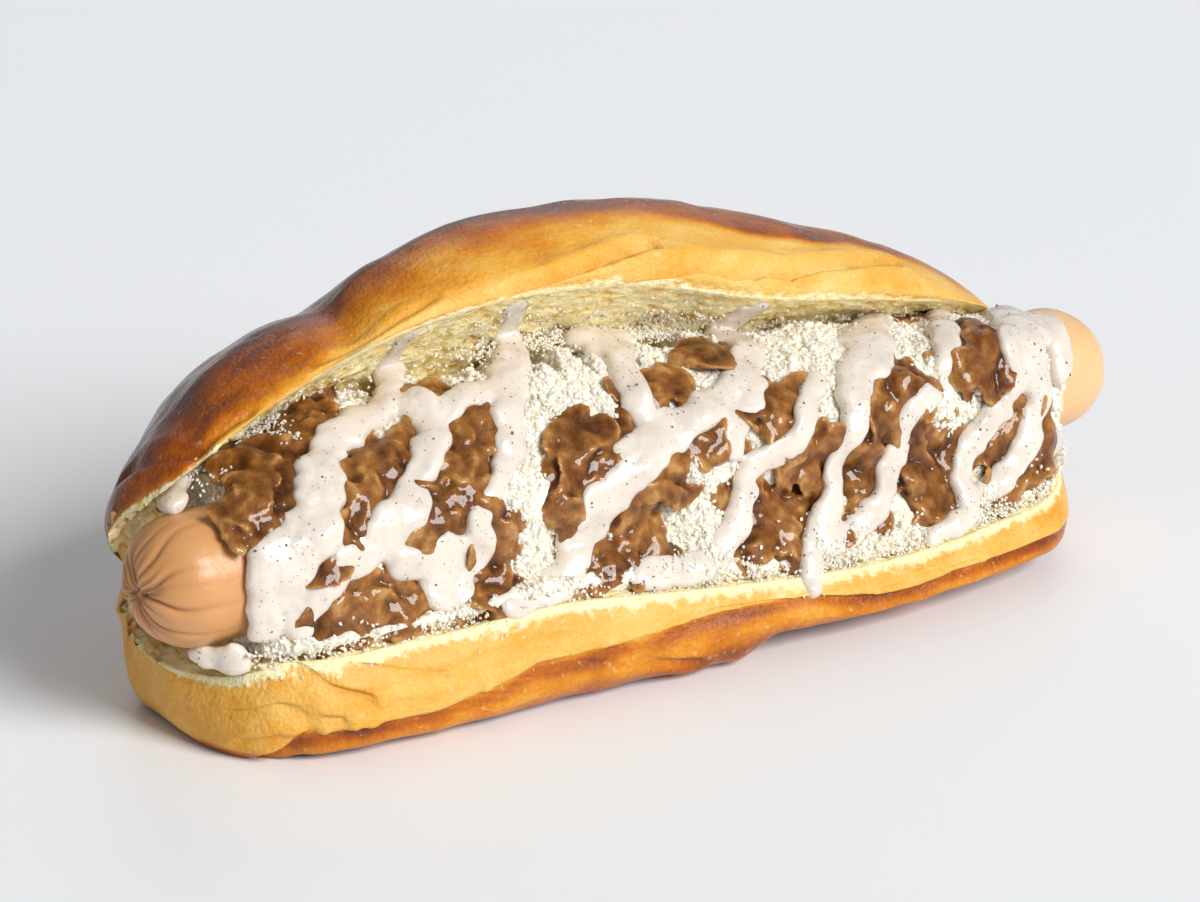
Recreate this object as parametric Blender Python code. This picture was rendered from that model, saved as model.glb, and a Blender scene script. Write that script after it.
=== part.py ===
"""Hot dog: a soft roll opened like a book and lying on its lower half, with a sausage that is
longer than the roll, a heap of crumbled white cheese round it, caramelised onions on the heap
and thick sauce drizzled over them.

Blender 4.5. X runs along the roll, the open mouth looks to -Y, and the roll rests on z = 0.
Shapes are worked out in millimetres, and new_object turns them into metres.
"""
import math
import random

import bmesh
import bpy
import numpy as np
from mathutils import Matrix, Vector
from mathutils.bvhtree import BVHTree

METRES = 0.001

# Roll: its two ends, and how fast its crust rounds in to the cut face there
ROLL_LEFT = -97.0
ROLL_RIGHT = 97.0
END_CAP = 13.0
END_RIM = 0.2
ROLL_STATIONS = 46
OUTLINE_POINTS = 21
CENTRE_CROWD = 0.12

# Outline of the roll at ten places along it: the two lips, the crown, the back and the corner
# where the cut stops
PLACES = (-98, -91, -78, -56, -28, 0, 30, 60, 84, 96)
LIP_LOW_Y = (-5, -18.5, -27, -31, -32.5, -34.5, -36, -34.5, -26, -8)
LIP_LOW_Z = (18, 18, 18, 18.5, 18.7, 15.6, 13, 13.2, 15, 17)
LIP_UP_Y = (1, -9.5, -9.7, -8, -8, -8, -8, -7.6, -3.7, 1)
LIP_UP_Z = (37, 46.5, 53.5, 61, 65.3, 63.3, 55, 48.8, 41, 32)
CROWN_Z = (39, 48, 56.5, 65, 73, 74, 67, 57, 44, 34)
BACK_Y = (10, 15, 24, 31, 34, 35, 35, 33.5, 27, 17)
CORNER_Y = (5, 7, 8.5, 9.5, 10, 10, 10, 10, 8.5, 7)

# Sausage
SAUSAGE_RADIUS = 11.5
SAUSAGE_HALF = 102.5
SAUSAGE_Y = -11.5
SAUSAGE_Z = 30.3
SAUSAGE_SIDES = 32
DOME_LENGTH = 11.0
DOME_STEPS = 6
BODY_STEPS = 5
CRIMP_FOLDS = 8
CRIMP_DEPTH = 0.5
CRIMP_DIMPLE = 1.8

# Cheese heap: its ends, and its thickness in front of the sausage from end to end
HEAP_LEFT = -82.0
HEAP_RIGHT = 86.0
HEAP_POINTS = 11
COVER_PLACES = (-84, -76, -60, -30, 30, 60, 80, 88)
COVER = (1.2, 2.0, 3.0, 3.5, 3.5, 3.5, 3.0, 1.6)
CRUMBS = 48
CRUMB_RADIUS = (1.1, 1.9)
CRUMB_BAND = (0.15, 0.82)

# Onion clusters: place along the roll, place up the front of the heap, and reach both ways
CLUSTERS = (
    (-76, 0.76, 8, 0.13), (-65, 0.88, 7, 0.10), (-55, 0.64, 4, 0.07), (-60, 0.50, 5, 0.08),
    (-68, 0.45, 5, 0.05), (-37, 0.68, 4, 0.09), (-46, 0.53, 5, 0.11), (-50, 0.39, 4, 0.05),
    (-64, 0.16, 6, 0.12), (-54, 0.12, 5, 0.10), (-40, 0.14, 3, 0.14), (-18, 0.53, 6, 0.07),
    (-25, 0.38, 4, 0.05), (-18, 0.09, 4, 0.08), (-9, 0.23, 6, 0.09), (-4, 0.40, 4, 0.09),
    (3, 0.64, 3, 0.04), (12, 0.70, 6, 0.05), (8, 0.49, 6, 0.05), (22, 0.48, 5, 0.10),
    (16, 0.15, 6, 0.12), (26, 0.22, 4, 0.10), (41, 0.27, 4, 0.13), (49, 0.48, 3, 0.11),
    (51, 0.17, 6, 0.12), (62, 0.70, 4, 0.12), (66, 0.49, 7, 0.06), (79, 0.16, 6, 0.11))
CLUSTER_RISE = 3.0
PIECES_IN_CLUSTER = 2
PIECE_LENGTH = (8.0, 12.0)
PIECE_WIDTH = (3.6, 5.2)
PIECE_THICKNESS = (2.6, 3.8)

# Sauce drizzle: width of each line, and its way points from the top of the heap to its foot
DRIZZLE = (
    (13, ((-80, 0.52), (-82, 0.38), (-82, 0.22), (-82, 0.06), (-86, -0.04))),
    (11, ((-44, 0.98), (-54, 0.80), (-65, 0.72), (-68, 0.58), (-76, 0.44))),
    (8, ((-40, 0.74), (-48, 0.60), (-56, 0.46), (-66, 0.37), (-73, 0.25), (-78, 0.06))),
    (9, ((-57, 0.30), (-49, 0.28), (-46, 0.16), (-48, -0.04))),
    (9, ((-18, 0.98), (-27, 0.80), (-34, 0.62), (-39, 0.48), (-44, 0.30))),
    (8, ((2, 0.82), (-8, 0.68), (-20, 0.60), (-29, 0.48), (-38, 0.42))),
    (9, ((20, 0.78), (10, 0.61), (-4, 0.54), (-15, 0.43), (-21, 0.28), (-27, 0.06), (-33, 0.02))),
    (8, ((44, 0.76), (30, 0.64), (18, 0.54), (8, 0.39), (2, 0.32))),
    (8, ((36, 0.66), (28, 0.44), (20, 0.31), (10, 0.22), (2, 0.09), (-12, 0.06))),
    (9, ((62, 0.92), (50, 0.66), (37, 0.46), (34, 0.24), (27, 0.06), (19, -0.16))),
    (8, ((62, 0.46), (52, 0.34), (45, 0.18), (38, 0.07), (30, 0.06))),
    (8, ((78, 0.96), (70, 0.76), (60, 0.60), (55, 0.44))),
    (13, ((82, 0.78), (77, 0.60), (74, 0.40), (72, 0.26), (64, 0.13), (50, 0.02))))
STRAND_STEP = 7.0
STRAND_THICKNESS = 3.0
STRAND_SINK = 1.0
KEPT_SHARE = 0.65

# Clearance between neighbours, seed of the random draws, and the middle of the part's base
GAP = 0.45
SEED = 7
BASE_MIDDLE = (0.4, -1.63, 0.0)


def along(x, values, places=PLACES):
    """Value at x on a smooth curve through one value for each place along the roll."""
    places = np.asarray(places, float)
    values = np.asarray(values, float)
    slope = np.gradient(values, places)
    x = np.clip(x, places[0], places[-1])
    i = np.clip(np.searchsorted(places, x) - 1, 0, len(places) - 2)
    span = places[i + 1] - places[i]
    t = (x - places[i]) / span
    start = (2 * t**3 - 3 * t**2 + 1) * values[i] + (t**3 - 2 * t**2 + t) * span * slope[i]
    end = (3 * t**2 - 2 * t**3) * values[i + 1] + (t**3 - t**2) * span * slope[i + 1]
    return start + end


def smooth(keys, count):
    """Points on a smooth curve through the key points, and the key number of each."""
    last = keys.shape[-2] - 1
    number = np.linspace(0, last, count)
    slope = np.gradient(keys, axis=-2)
    i = np.clip(number.astype(int), 0, last - 1)
    t = (number - i)[:, None]
    start = (2 * t**3 - 3 * t**2 + 1) * keys[..., i, :] + (t**3 - 2 * t**2 + t) * slope[..., i, :]
    end = (3 * t**2 - 2 * t**3) * keys[..., i + 1, :] + (t**3 - t**2) * slope[..., i + 1, :]
    return start + end, number


def stack(pairs):
    """Array of (y, z) key points, one row for each place along the roll."""
    return np.stack([np.stack(np.broadcast_arrays(*pair), -1) for pair in pairs], -2)


def crust_keys(x):
    """Crust from the lower lip under the roll, up its back and over the crown to the upper lip."""
    lip_y, lip_z = along(x, LIP_LOW_Y), along(x, LIP_LOW_Z)
    top_y, top_z = along(x, LIP_UP_Y), along(x, LIP_UP_Z)
    crown, back = along(x, CROWN_Z), along(x, BACK_Y)
    corner_z = lip_z + 1.5
    rise = top_z - corner_z
    deep = back - lip_y
    return stack([
        (lip_y, lip_z),
        (lip_y - 2.6, 0.72 * lip_z),
        (lip_y - 2.4, 0.34 * lip_z),
        (lip_y + 1.5, 0.07 * lip_z),
        (lip_y + 0.13 * deep, 0.0),
        (lip_y + 0.50 * deep, 0.0),
        (lip_y + 0.80 * deep, 0.0),
        (back - 0.065 * deep, 0.20 * lip_z),
        (back - 0.5, 0.75 * lip_z),
        (back + 0.3, corner_z + 0.16 * rise),
        (back - 0.5, corner_z + 0.45 * rise),
        (back - 0.07 * deep, corner_z + 0.80 * rise),
        (0.45 * back + 0.55 * top_y + 4, crown - 2.5),
        (0.22 * back + 0.78 * top_y + 3, crown),
        (top_y + 2.5, 0.62 * crown + 0.38 * top_z),
        (top_y - 0.6, 0.25 * crown + 0.75 * top_z),
        (top_y, top_z)])


def cut_keys(x):
    """Cut face from the lower lip in to the corner and up to the upper lip."""
    lip_y, lip_z = along(x, LIP_LOW_Y), along(x, LIP_LOW_Z)
    top_y, top_z = along(x, LIP_UP_Y), along(x, LIP_UP_Z)
    corner = along(x, CORNER_Y)
    corner_z = lip_z + 1.5
    rise = top_z - corner_z
    wide = corner - lip_y
    lean = top_y - corner
    return stack([
        (lip_y, lip_z),
        (lip_y + 0.035 * wide, lip_z),
        (lip_y + 0.09 * wide, lip_z),
        (lip_y + 0.18 * wide, lip_z - 0.2),
        (lip_y + 0.36 * wide, lip_z - 0.4),
        (lip_y + 0.65 * wide, lip_z - 0.4),
        (lip_y + 0.91 * wide, lip_z - 0.2),
        (lip_y + 0.975 * wide, lip_z + 0.3),
        (corner, corner_z),
        (corner + 0.2, corner_z + 0.10 * rise),
        (corner - 0.3, corner_z + 0.30 * rise),
        (corner + 0.12 * lean, corner_z + 0.55 * rise),
        (corner + 0.40 * lean, corner_z + 0.76 * rise),
        (corner + 0.67 * lean, corner_z + 0.88 * rise),
        (corner + 0.85 * lean, corner_z + 0.945 * rise),
        (corner + 0.95 * lean, corner_z + 0.98 * rise),
        (top_y, top_z)])


def bump(value, centre, reach):
    """One at the centre, falling smoothly to nothing past the reach."""
    return np.exp(-((value - centre) / reach) ** 2)


def step(value, start, end):
    """Smooth step from 0 at start to 1 at end."""
    t = np.clip((value - start) / (end - start), 0, 1)
    return t * t * (3 - 2 * t)


def crust_relief(x, key):
    """How far the crust stands out: the dent in the crown, folds along the sides and its flap."""
    dent = -1.9 * bump(x, -52 + 1.6 * (13 - key), 4.5) * step(key, 10.5, 12.5) * step(-key, -15.6, -14)
    lobe = -1.6 * bump(x, -88 + 2.2 * (15 - key), 3.5) * step(key, 11.5, 13.5)
    pinch = -1.2 * bump(key, 2.6 + 0.15 * np.sin(0.07 * x), 0.45) * step(x, -70, -50)
    flap = 1.0 * bump(key, 3.3, 0.55) * step(-x, -7, -3)
    under = -1.3 * bump(key, 3.4, 0.7) * step(x, 6, 12) * step(-x, -90, -75)
    crease = -0.7 * bump(key, 15.1 + 0.1 * np.sin(0.11 * x), 0.4) * step(x, -45, -20)
    swell = 0.5 * np.sin(0.13 * x + 0.9 * key) * step(key, 8, 9)
    return dent + lobe + pinch + flap + under + crease + swell


def end_share(x):
    """Share of its full thickness that the roll has at x: all of it, but for its rounded ends."""
    inside = np.clip(np.minimum(x - ROLL_LEFT, ROLL_RIGHT - x) / END_CAP, 0, 1)
    return END_RIM + (1 - END_RIM) * np.sqrt(1 - (1 - inside) ** 2.3)


def roll_stations():
    """Places along the roll, closer together towards its ends."""
    t = np.linspace(-1, 1, ROLL_STATIONS)
    half = 0.5 * (ROLL_RIGHT - ROLL_LEFT)
    return 0.5 * (ROLL_LEFT + ROLL_RIGHT) + half * (t + CENTRE_CROWD * np.sin(math.pi * t))


def roll_rings(x):
    """Crust points and cut-face points, paired one to one, at each place along the roll."""
    crust, key = smooth(crust_keys(x), OUTLINE_POINTS)
    cut, _ = smooth(cut_keys(x), OUTLINE_POINTS)
    outward = crust - cut
    length = np.linalg.norm(outward, axis=-1, keepdims=True)
    relief = crust_relief(x[:, None], key[None, :])[..., None]
    crust = crust + relief * outward / np.maximum(length, 1.0)
    crust = cut + (crust - cut) * end_share(x)[:, None, None]
    crust[..., 1] = np.maximum(crust[..., 1], 0.0)
    return crust, cut


def front_keys(x):
    """Front of the filling, from the crust below the lower lip up to the upper cut face."""
    crust, cut = crust_keys(x), cut_keys(x)
    reach = SAUSAGE_RADIUS + along(x, COVER, COVER_PLACES)

    def round_sausage(degrees):
        angle = math.radians(degrees)
        return np.stack([SAUSAGE_Y + reach * math.cos(angle),
                         SAUSAGE_Z + reach * math.sin(angle)], -1)

    foot = crust[..., 0, :] + np.array([2.0, 0.4])
    low, middle, high = round_sausage(198), round_sausage(160), round_sausage(122)
    top = cut[..., 12, :]
    chord = top - high
    between = 0.5 * (high + top) + 0.10 * np.stack([-chord[..., 1], chord[..., 0]], -1)
    return np.stack([crust[..., 2, :], crust[..., 1, :], foot, low, middle, high, between, top], -2)


def front_point(x, up):
    """Point on the front: up is 0 at the lower lip and 1 where the filling ends at the top."""
    keys = front_keys(np.float64(x))
    number = np.clip(5 * up + 2, 0, 7)
    i = min(int(number), 6)
    t = number - i
    slope = np.gradient(keys, axis=0)
    y, z = ((2 * t**3 - 3 * t**2 + 1) * keys[i] + (t**3 - 2 * t**2 + t) * slope[i]
            + (3 * t**2 - 2 * t**3) * keys[i + 1] + (t**3 - t**2) * slope[i + 1])
    return Vector((x, y, z))


def front_axes(x, up):
    """Point on the front with its directions along the roll, up the heap and outward."""
    point = front_point(x, up)
    side = (front_point(x + 1, up) - front_point(x - 1, up)).normalized()
    rising = (front_point(x, up + 0.01) - front_point(x, up - 0.01)).normalized()
    outward = side.cross(rising).normalized()
    return point, side, rising, outward


def new_object(name, points, faces, colour, roughness):
    """Closed mesh object with its faces pointing out and a material of its own."""
    mesh = bpy.data.meshes.new(name)
    mesh.from_pydata([Vector(p) * METRES for p in points], [], faces)
    return finish_object(name, mesh, colour, roughness)


def finish_object(name, mesh, colour, roughness):
    """Object of a mesh in metres, cleaned, shaded smooth and with its own material."""
    shape = bmesh.new()
    shape.from_mesh(mesh)
    bmesh.ops.recalc_face_normals(shape, faces=shape.faces)
    if shape.calc_volume(signed=True) < 0:
        bmesh.ops.reverse_faces(shape, faces=shape.faces)
    bmesh.ops.triangulate(shape, faces=shape.faces)
    shape.to_mesh(mesh)
    shape.free()
    mesh.shade_smooth()
    material = bpy.data.materials.new(name)
    material.use_nodes = True
    shader = material.node_tree.nodes["Principled BSDF"]
    shader.inputs["Base Color"].default_value = (*colour, 1.0)
    shader.inputs["Roughness"].default_value = roughness
    shader.inputs["Metallic"].default_value = 0.0
    mesh.materials.clear()
    mesh.materials.append(material)
    result = bpy.data.objects.new(name, mesh)
    bpy.context.scene.collection.objects.link(result)
    return result


def tube_faces(rings, sides):
    """Quads between rings of points that lie one after another."""
    faces = []
    for ring in range(rings - 1):
        for side in range(sides):
            after = (side + 1) % sides
            faces.append((ring * sides + side, ring * sides + after,
                          (ring + 1) * sides + after, (ring + 1) * sides + side))
    return faces


def make_roll():
    """Roll: the crust outside, the cut face inside, and a thin rim at each end."""
    x = roll_stations()
    crust, cut = roll_rings(x)
    section = np.concatenate([crust, cut[:, -2:0:-1]], axis=1)
    sides = section.shape[1]
    points = [(x[i], y, z) for i in range(len(x)) for y, z in section[i]]
    faces = tube_faces(len(x), sides)
    for ring in (0, len(x) - 1):
        base = ring * sides
        for i in range(OUTLINE_POINTS - 1):
            inner = [base + (sides - k) % sides for k in (i, i + 1)]
            if i == OUTLINE_POINTS - 2:
                inner[1] = base + i + 1
            face = [base + i, base + i + 1, inner[1], inner[0]]
            faces.append(tuple(dict.fromkeys(face)))
    return new_object("bun", points, faces, (0.62, 0.30, 0.07), 0.35)


def sausage_rings():
    """Rings along the sausage: left dome with its crimp folds, plain body, right dome."""
    rings = []
    for i in range(1, DOME_STEPS + 1):
        turn = 0.5 * math.pi * i / DOME_STEPS
        radius = SAUSAGE_RADIUS * math.sin(turn) ** 0.9
        inset = DOME_LENGTH * (1 - math.cos(turn))
        rings.append((-SAUSAGE_HALF + inset, radius, math.sin(2 * turn)))
    body = SAUSAGE_HALF - DOME_LENGTH
    for i in range(1, BODY_STEPS):
        rings.append((-body + 2 * body * i / BODY_STEPS, SAUSAGE_RADIUS, 0.0))
    for i in range(DOME_STEPS, 0, -1):
        turn = 0.5 * math.pi * i / DOME_STEPS
        radius = SAUSAGE_RADIUS * math.sin(turn) ** 0.9
        inset = DOME_LENGTH * (1 - math.cos(turn))
        rings.append((SAUSAGE_HALF - inset, radius, 0.0))
    return rings


def make_sausage():
    """Sausage with a crimped left end and a plain right end."""
    points = []
    rings = sausage_rings()
    for x, radius, fold in rings:
        for i in range(SAUSAGE_SIDES):
            angle = 2 * math.pi * i / SAUSAGE_SIDES
            reach = radius + CRIMP_DEPTH * fold * (math.cos(CRIMP_FOLDS * angle) - 1)
            shift = CRIMP_DIMPLE * fold * bump(radius, 0, 4.0)
            points.append((x + shift, SAUSAGE_Y + reach * math.cos(angle),
                           SAUSAGE_Z + reach * math.sin(angle)))
    faces = tube_faces(len(rings), SAUSAGE_SIDES)
    left = len(points)
    points.append((-SAUSAGE_HALF + CRIMP_DIMPLE, SAUSAGE_Y, SAUSAGE_Z))
    points.append((SAUSAGE_HALF, SAUSAGE_Y, SAUSAGE_Z))
    last = (len(rings) - 1) * SAUSAGE_SIDES
    for i in range(SAUSAGE_SIDES):
        after = (i + 1) % SAUSAGE_SIDES
        faces.append((i, after, left))
        faces.append((last + i, last + after, left + 1))
    return new_object("sausage", points, faces, (0.80, 0.42, 0.20), 0.4)


def make_heap_core():
    """Heap without its crumbs: the front of the filling, and its back against the cut face."""
    x = roll_stations()
    x = x[(x > HEAP_LEFT) & (x < HEAP_RIGHT)][::2]
    front, _ = smooth(front_keys(x)[:, 2:], HEAP_POINTS)
    _, cut = roll_rings(x)
    number = np.linspace(0, 16, OUTLINE_POINTS)
    back = cut[:, (number > 3.5) & (number < 11.5)]
    corner = np.stack([along(x, CORNER_Y), along(x, LIP_LOW_Z) + 1.5], -1)[:, None]
    inward = np.array([SAUSAGE_Y, SAUSAGE_Z]) - corner
    back = back + GAP * 1.3 * inward / np.linalg.norm(inward, axis=-1, keepdims=True)
    lift = np.zeros(front.shape)
    lift[:, 0] = (1.0, GAP)
    lift[:, -1] = (-1.5 * GAP, -2.5 * GAP)
    front = front + lift
    section = np.concatenate([front, back[:, ::-1]], axis=1)
    sides = section.shape[1]
    points = [(x[i], y, z) for i in range(len(x)) for y, z in section[i]]
    faces = tube_faces(len(x), sides)
    faces.append(tuple(range(sides)))
    faces.append(tuple((len(x) - 1) * sides + i for i in range(sides)))
    return new_object("cheese_heap", points, faces, (0.90, 0.82, 0.62), 0.8)


def onion_rise(x, up):
    """Height that the onion clusters give the heap at a place on its front."""
    rise = 0.0
    for place, height, reach_x, reach_up in CLUSTERS:
        near = bump(x, place, 1.2 * reach_x) * bump(up, height, 1.2 * reach_up)
        rise = max(rise, CLUSTER_RISE * float(near))
    return rise


def onion_piece(place, frame, size, turn, tilt):
    """Few-sided lump of onion that lies on the heap."""
    side, rising, outward = frame
    shape = bmesh.new()
    bmesh.ops.create_icosphere(shape, subdivisions=1, radius=1.0)
    basis = Matrix((side, rising, outward)).transposed().to_4x4()
    local = Matrix.Rotation(turn, 4, "Z") @ Matrix.Rotation(tilt, 4, "Y")
    scale = Matrix.Diagonal((*[0.5 * METRES * s for s in size], 1.0))
    shape.transform(Matrix.Translation(place * METRES) @ basis @ local @ scale)
    mesh = bpy.data.meshes.new("onion_piece")
    shape.to_mesh(mesh)
    shape.free()
    return bpy.data.objects.new("onion_piece", mesh)


def onion_pieces(draw):
    """Pieces of every cluster: a broad one at its middle and thinner ones round it."""
    pieces = []
    for x, up, reach_x, reach_up in CLUSTERS:
        point, *frame = front_axes(x, up)
        length = (front_point(x, up + reach_up) - front_point(x, up - reach_up)).length
        pieces.append(onion_piece(point + frame[2] * 0.8, frame, (2.1 * reach_x, length, 6.0), 0, 0))
        for _ in range(PIECES_IN_CLUSTER):
            where = x + draw.uniform(-0.8, 0.8) * reach_x
            height = up + draw.uniform(-0.8, 0.8) * reach_up
            point, *frame = front_axes(where, height)
            size = (draw.uniform(*PIECE_LENGTH), draw.uniform(*PIECE_WIDTH), draw.uniform(*PIECE_THICKNESS))
            lift = 0.7 + 0.5 * onion_rise(where, height)
            turn = draw.uniform(0.6, 2.2)
            pieces.append(onion_piece(point + frame[2] * lift, frame, size, turn, draw.uniform(-0.3, 0.3)))
    return pieces


def strand(width, way):
    """One line of sauce: a low rounded ribbon that follows the heap over the onions."""
    way = np.asarray(way, float)
    length = sum((front_point(*way[i]) - front_point(*way[i + 1])).length for i in range(len(way) - 1))
    count = max(6, round(length / STRAND_STEP))
    track, _ = smooth(way, count)
    points = []
    for i, (x, up) in enumerate(track):
        ahead = track[min(i + 1, count - 1)]
        behind = track[max(i - 1, 0)]
        travel = (front_point(*ahead) - front_point(*behind)).normalized()
        point, _, _, outward = front_axes(x, up)
        across = travel.cross(outward).normalized()
        share = i / (count - 1)
        taper = math.sqrt(max(0.10, 1 - (2 * share - 1) ** 6))
        swell = 1 + 0.16 * math.sin(2.1 * i + width + way[0][0])
        half = 0.5 * width * taper * swell
        base = point + outward * (onion_rise(x, up) - STRAND_SINK)
        top = STRAND_SINK + STRAND_THICKNESS * taper
        for sideways, height in ((-1, 0), (-0.75, 0.8), (0, 1), (0.75, 0.8), (1, 0)):
            points.append(base + across * (sideways * half) + outward * (height * top))
    faces = tube_faces(count, 5)
    faces.append(tuple(range(5)))
    faces.append(tuple((count - 1) * 5 + i for i in range(5)))
    mesh = bpy.data.meshes.new("strand")
    mesh.from_pydata([p * METRES for p in points], [], faces)
    shape = bmesh.new()
    shape.from_mesh(mesh)
    bmesh.ops.recalc_face_normals(shape, faces=shape.faces)
    if shape.calc_volume(signed=True) < 0:
        bmesh.ops.reverse_faces(shape, faces=shape.faces)
    shape.to_mesh(mesh)
    shape.free()
    return bpy.data.objects.new("strand", mesh)


def apply_modifiers(target):
    """Give the object its evaluated mesh, and take its modifiers off."""
    bpy.context.view_layer.update()
    graph = bpy.context.evaluated_depsgraph_get()
    mesh = bpy.data.meshes.new_from_object(target.evaluated_get(graph))
    target.modifiers.clear()
    target.data = mesh


def join_all(base, others):
    """One Boolean union of the base with all the others, which are then removed."""
    group = bpy.data.collections.new("joined")
    bpy.context.scene.collection.children.link(group)
    for other in others:
        group.objects.link(other)
    union = base.modifiers.new("union", "BOOLEAN")
    union.operation = "UNION"
    union.operand_type = "COLLECTION"
    union.collection = group
    union.solver = "MANIFOLD"
    apply_modifiers(base)
    for other in others:
        bpy.data.objects.remove(other)
    bpy.data.collections.remove(group)


def cut_with(target, cutter):
    """Take the cutter's volume out of the target."""
    difference = target.modifiers.new("cut", "BOOLEAN")
    difference.operation = "DIFFERENCE"
    difference.object = cutter
    difference.solver = "MANIFOLD"
    apply_modifiers(target)


def grown_copy(source, distance):
    """Copy of an object with its surface moved out by a distance, for cutting clearances."""
    mesh = source.data.copy()
    normals = [v.normal.copy() for v in mesh.vertices]
    for vertex, normal in zip(mesh.vertices, normals):
        vertex.co += normal * distance * METRES
    grown = bpy.data.objects.new("clearance", mesh)
    bpy.context.scene.collection.objects.link(grown)
    grown.hide_render = True
    grown.display_type = "WIRE"
    return grown


def keep_largest(target):
    """Drop loose scraps and fill sealed hollows: only the largest closed surface stays."""
    shape = bmesh.new()
    shape.from_mesh(target.data)
    left = set(shape.verts)
    groups = []
    while left:
        front = [left.pop()]
        group = set(front)
        while front:
            vertex = front.pop()
            near = {edge.other_vert(vertex) for edge in vertex.link_edges} & left
            left -= near
            group |= near
            front.extend(near)
        groups.append(group)
    largest = max(groups, key=len)
    bmesh.ops.delete(shape, geom=[v for v in shape.verts if v not in largest], context="VERTS")
    shape.to_mesh(target.data)
    shape.free()


def make_onion_heap(core, roll, sausage):
    """Onion pieces with the drizzled sauce fused on, kept clear of what they lie on."""
    draw = random.Random(SEED)
    parts = onion_pieces(draw) + [strand(width, way) for width, way in DRIZZLE]
    base = parts.pop()
    bpy.context.scene.collection.objects.link(base)
    join_all(base, parts)
    fewer = base.modifiers.new("fewer", "DECIMATE")
    fewer.ratio = KEPT_SHARE
    apply_modifiers(base)
    for source in (core, roll, sausage):
        clearance = grown_copy(source, GAP)
        cut_with(base, clearance)
        bpy.data.objects.remove(clearance)
    keep_largest(base)
    heap = finish_object("onion_heap", base.data, (0.42, 0.17, 0.04), 0.25)
    bpy.data.objects.remove(base)
    return heap


def add_crumbs(core, onions):
    """Fuse crumbs of cheese to the heap where neither onion nor sauce covers it."""
    draw = random.Random(SEED + 1)
    shape = bmesh.new()
    shape.from_mesh(onions.data)
    cover = BVHTree.FromBMesh(shape)
    shape.free()
    crumbs = []
    while len(crumbs) < CRUMBS:
        x = draw.uniform(HEAP_LEFT + 3, HEAP_RIGHT - 3)
        up = draw.uniform(*CRUMB_BAND)
        radius = draw.uniform(*CRUMB_RADIUS)
        point, *frame = front_axes(x, up)
        _, _, _, distance = cover.find_nearest(point * METRES)
        if distance < (radius + GAP) * METRES:
            continue
        size = (2 * radius, 1.7 * radius, 1.8 * radius)
        crumbs.append(onion_piece(point, frame, size, draw.uniform(0, 3), draw.uniform(-0.4, 0.4)))
    join_all(core, crumbs)
    keep_largest(core)


def cut_tunnel(core):
    """Cut the heap round the sausage that runs through it."""
    shape = bmesh.new()
    length = 2 * SAUSAGE_HALF * METRES
    radius = (SAUSAGE_RADIUS + GAP) / math.cos(math.pi / 24) * METRES
    bmesh.ops.create_cone(shape, cap_ends=True, segments=24, radius1=radius, radius2=radius, depth=length)
    place = Matrix.Translation(Vector((0, SAUSAGE_Y, SAUSAGE_Z)) * METRES)
    shape.transform(place @ Matrix.Rotation(math.pi / 2, 4, "Y"))
    mesh = bpy.data.meshes.new("tunnel")
    shape.to_mesh(mesh)
    shape.free()
    tunnel = bpy.data.objects.new("tunnel", mesh)
    bpy.context.scene.collection.objects.link(tunnel)
    cut_with(core, tunnel)
    bpy.data.objects.remove(tunnel)


def main():
    for old in list(bpy.data.objects):
        bpy.data.objects.remove(old)
    roll = make_roll()
    sausage = make_sausage()
    core = make_heap_core()
    onions = make_onion_heap(core, roll, sausage)
    cut_tunnel(core)
    add_crumbs(core, onions)
    to_origin = Matrix.Translation(-Vector(BASE_MIDDLE) * METRES)
    for piece in (roll, sausage, core, onions):
        piece.data.transform(to_origin)


main()
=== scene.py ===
"""Looks of the hot dog: a soft glazed roll opened like a book, with a sausage, crumbled white
cheese, caramelised onions and peppered sauce in it.

Shapes are worked out in millimetres, X along the roll, as the CAD part works them out, and
in_frame turns them into the frame's metres.
"""
import itertools
import math
import random

import bmesh
import bpy
import numpy as np
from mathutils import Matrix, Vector


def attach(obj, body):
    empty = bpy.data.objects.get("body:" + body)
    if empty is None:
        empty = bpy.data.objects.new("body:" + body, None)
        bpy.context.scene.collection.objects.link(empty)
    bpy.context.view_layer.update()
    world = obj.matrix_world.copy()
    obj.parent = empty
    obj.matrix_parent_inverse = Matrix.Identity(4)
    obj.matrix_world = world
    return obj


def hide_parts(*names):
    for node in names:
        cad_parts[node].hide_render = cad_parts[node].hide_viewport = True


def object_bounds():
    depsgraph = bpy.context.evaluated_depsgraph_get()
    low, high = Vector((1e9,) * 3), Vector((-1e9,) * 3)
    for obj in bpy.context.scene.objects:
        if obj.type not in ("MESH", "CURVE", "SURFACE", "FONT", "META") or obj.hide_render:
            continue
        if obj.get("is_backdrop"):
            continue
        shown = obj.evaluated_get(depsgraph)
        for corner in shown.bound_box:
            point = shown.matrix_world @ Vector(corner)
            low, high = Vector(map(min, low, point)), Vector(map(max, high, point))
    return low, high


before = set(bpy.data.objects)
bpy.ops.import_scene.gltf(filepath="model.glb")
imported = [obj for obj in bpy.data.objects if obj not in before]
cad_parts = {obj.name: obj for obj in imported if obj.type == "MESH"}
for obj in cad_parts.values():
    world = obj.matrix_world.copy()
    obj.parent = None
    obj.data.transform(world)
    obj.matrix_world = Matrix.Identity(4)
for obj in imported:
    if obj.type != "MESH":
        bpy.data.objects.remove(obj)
cad_low, cad_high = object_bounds()

# Camera and light: the camera looks down at the open front from the roll's left. One large soft
# light stands to the right, a weak one stands behind, and a pale room fills the shadows on a
# plain pale floor.
CAMERA_AZIMUTH = -34
CAMERA_ELEVATION = 21
CAMERA_DISTANCE = 0.796
CAMERA_TARGET = Vector((-0.0004, 0.00163, 0.030))
LENS = 135
SENSOR = 36
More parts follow.
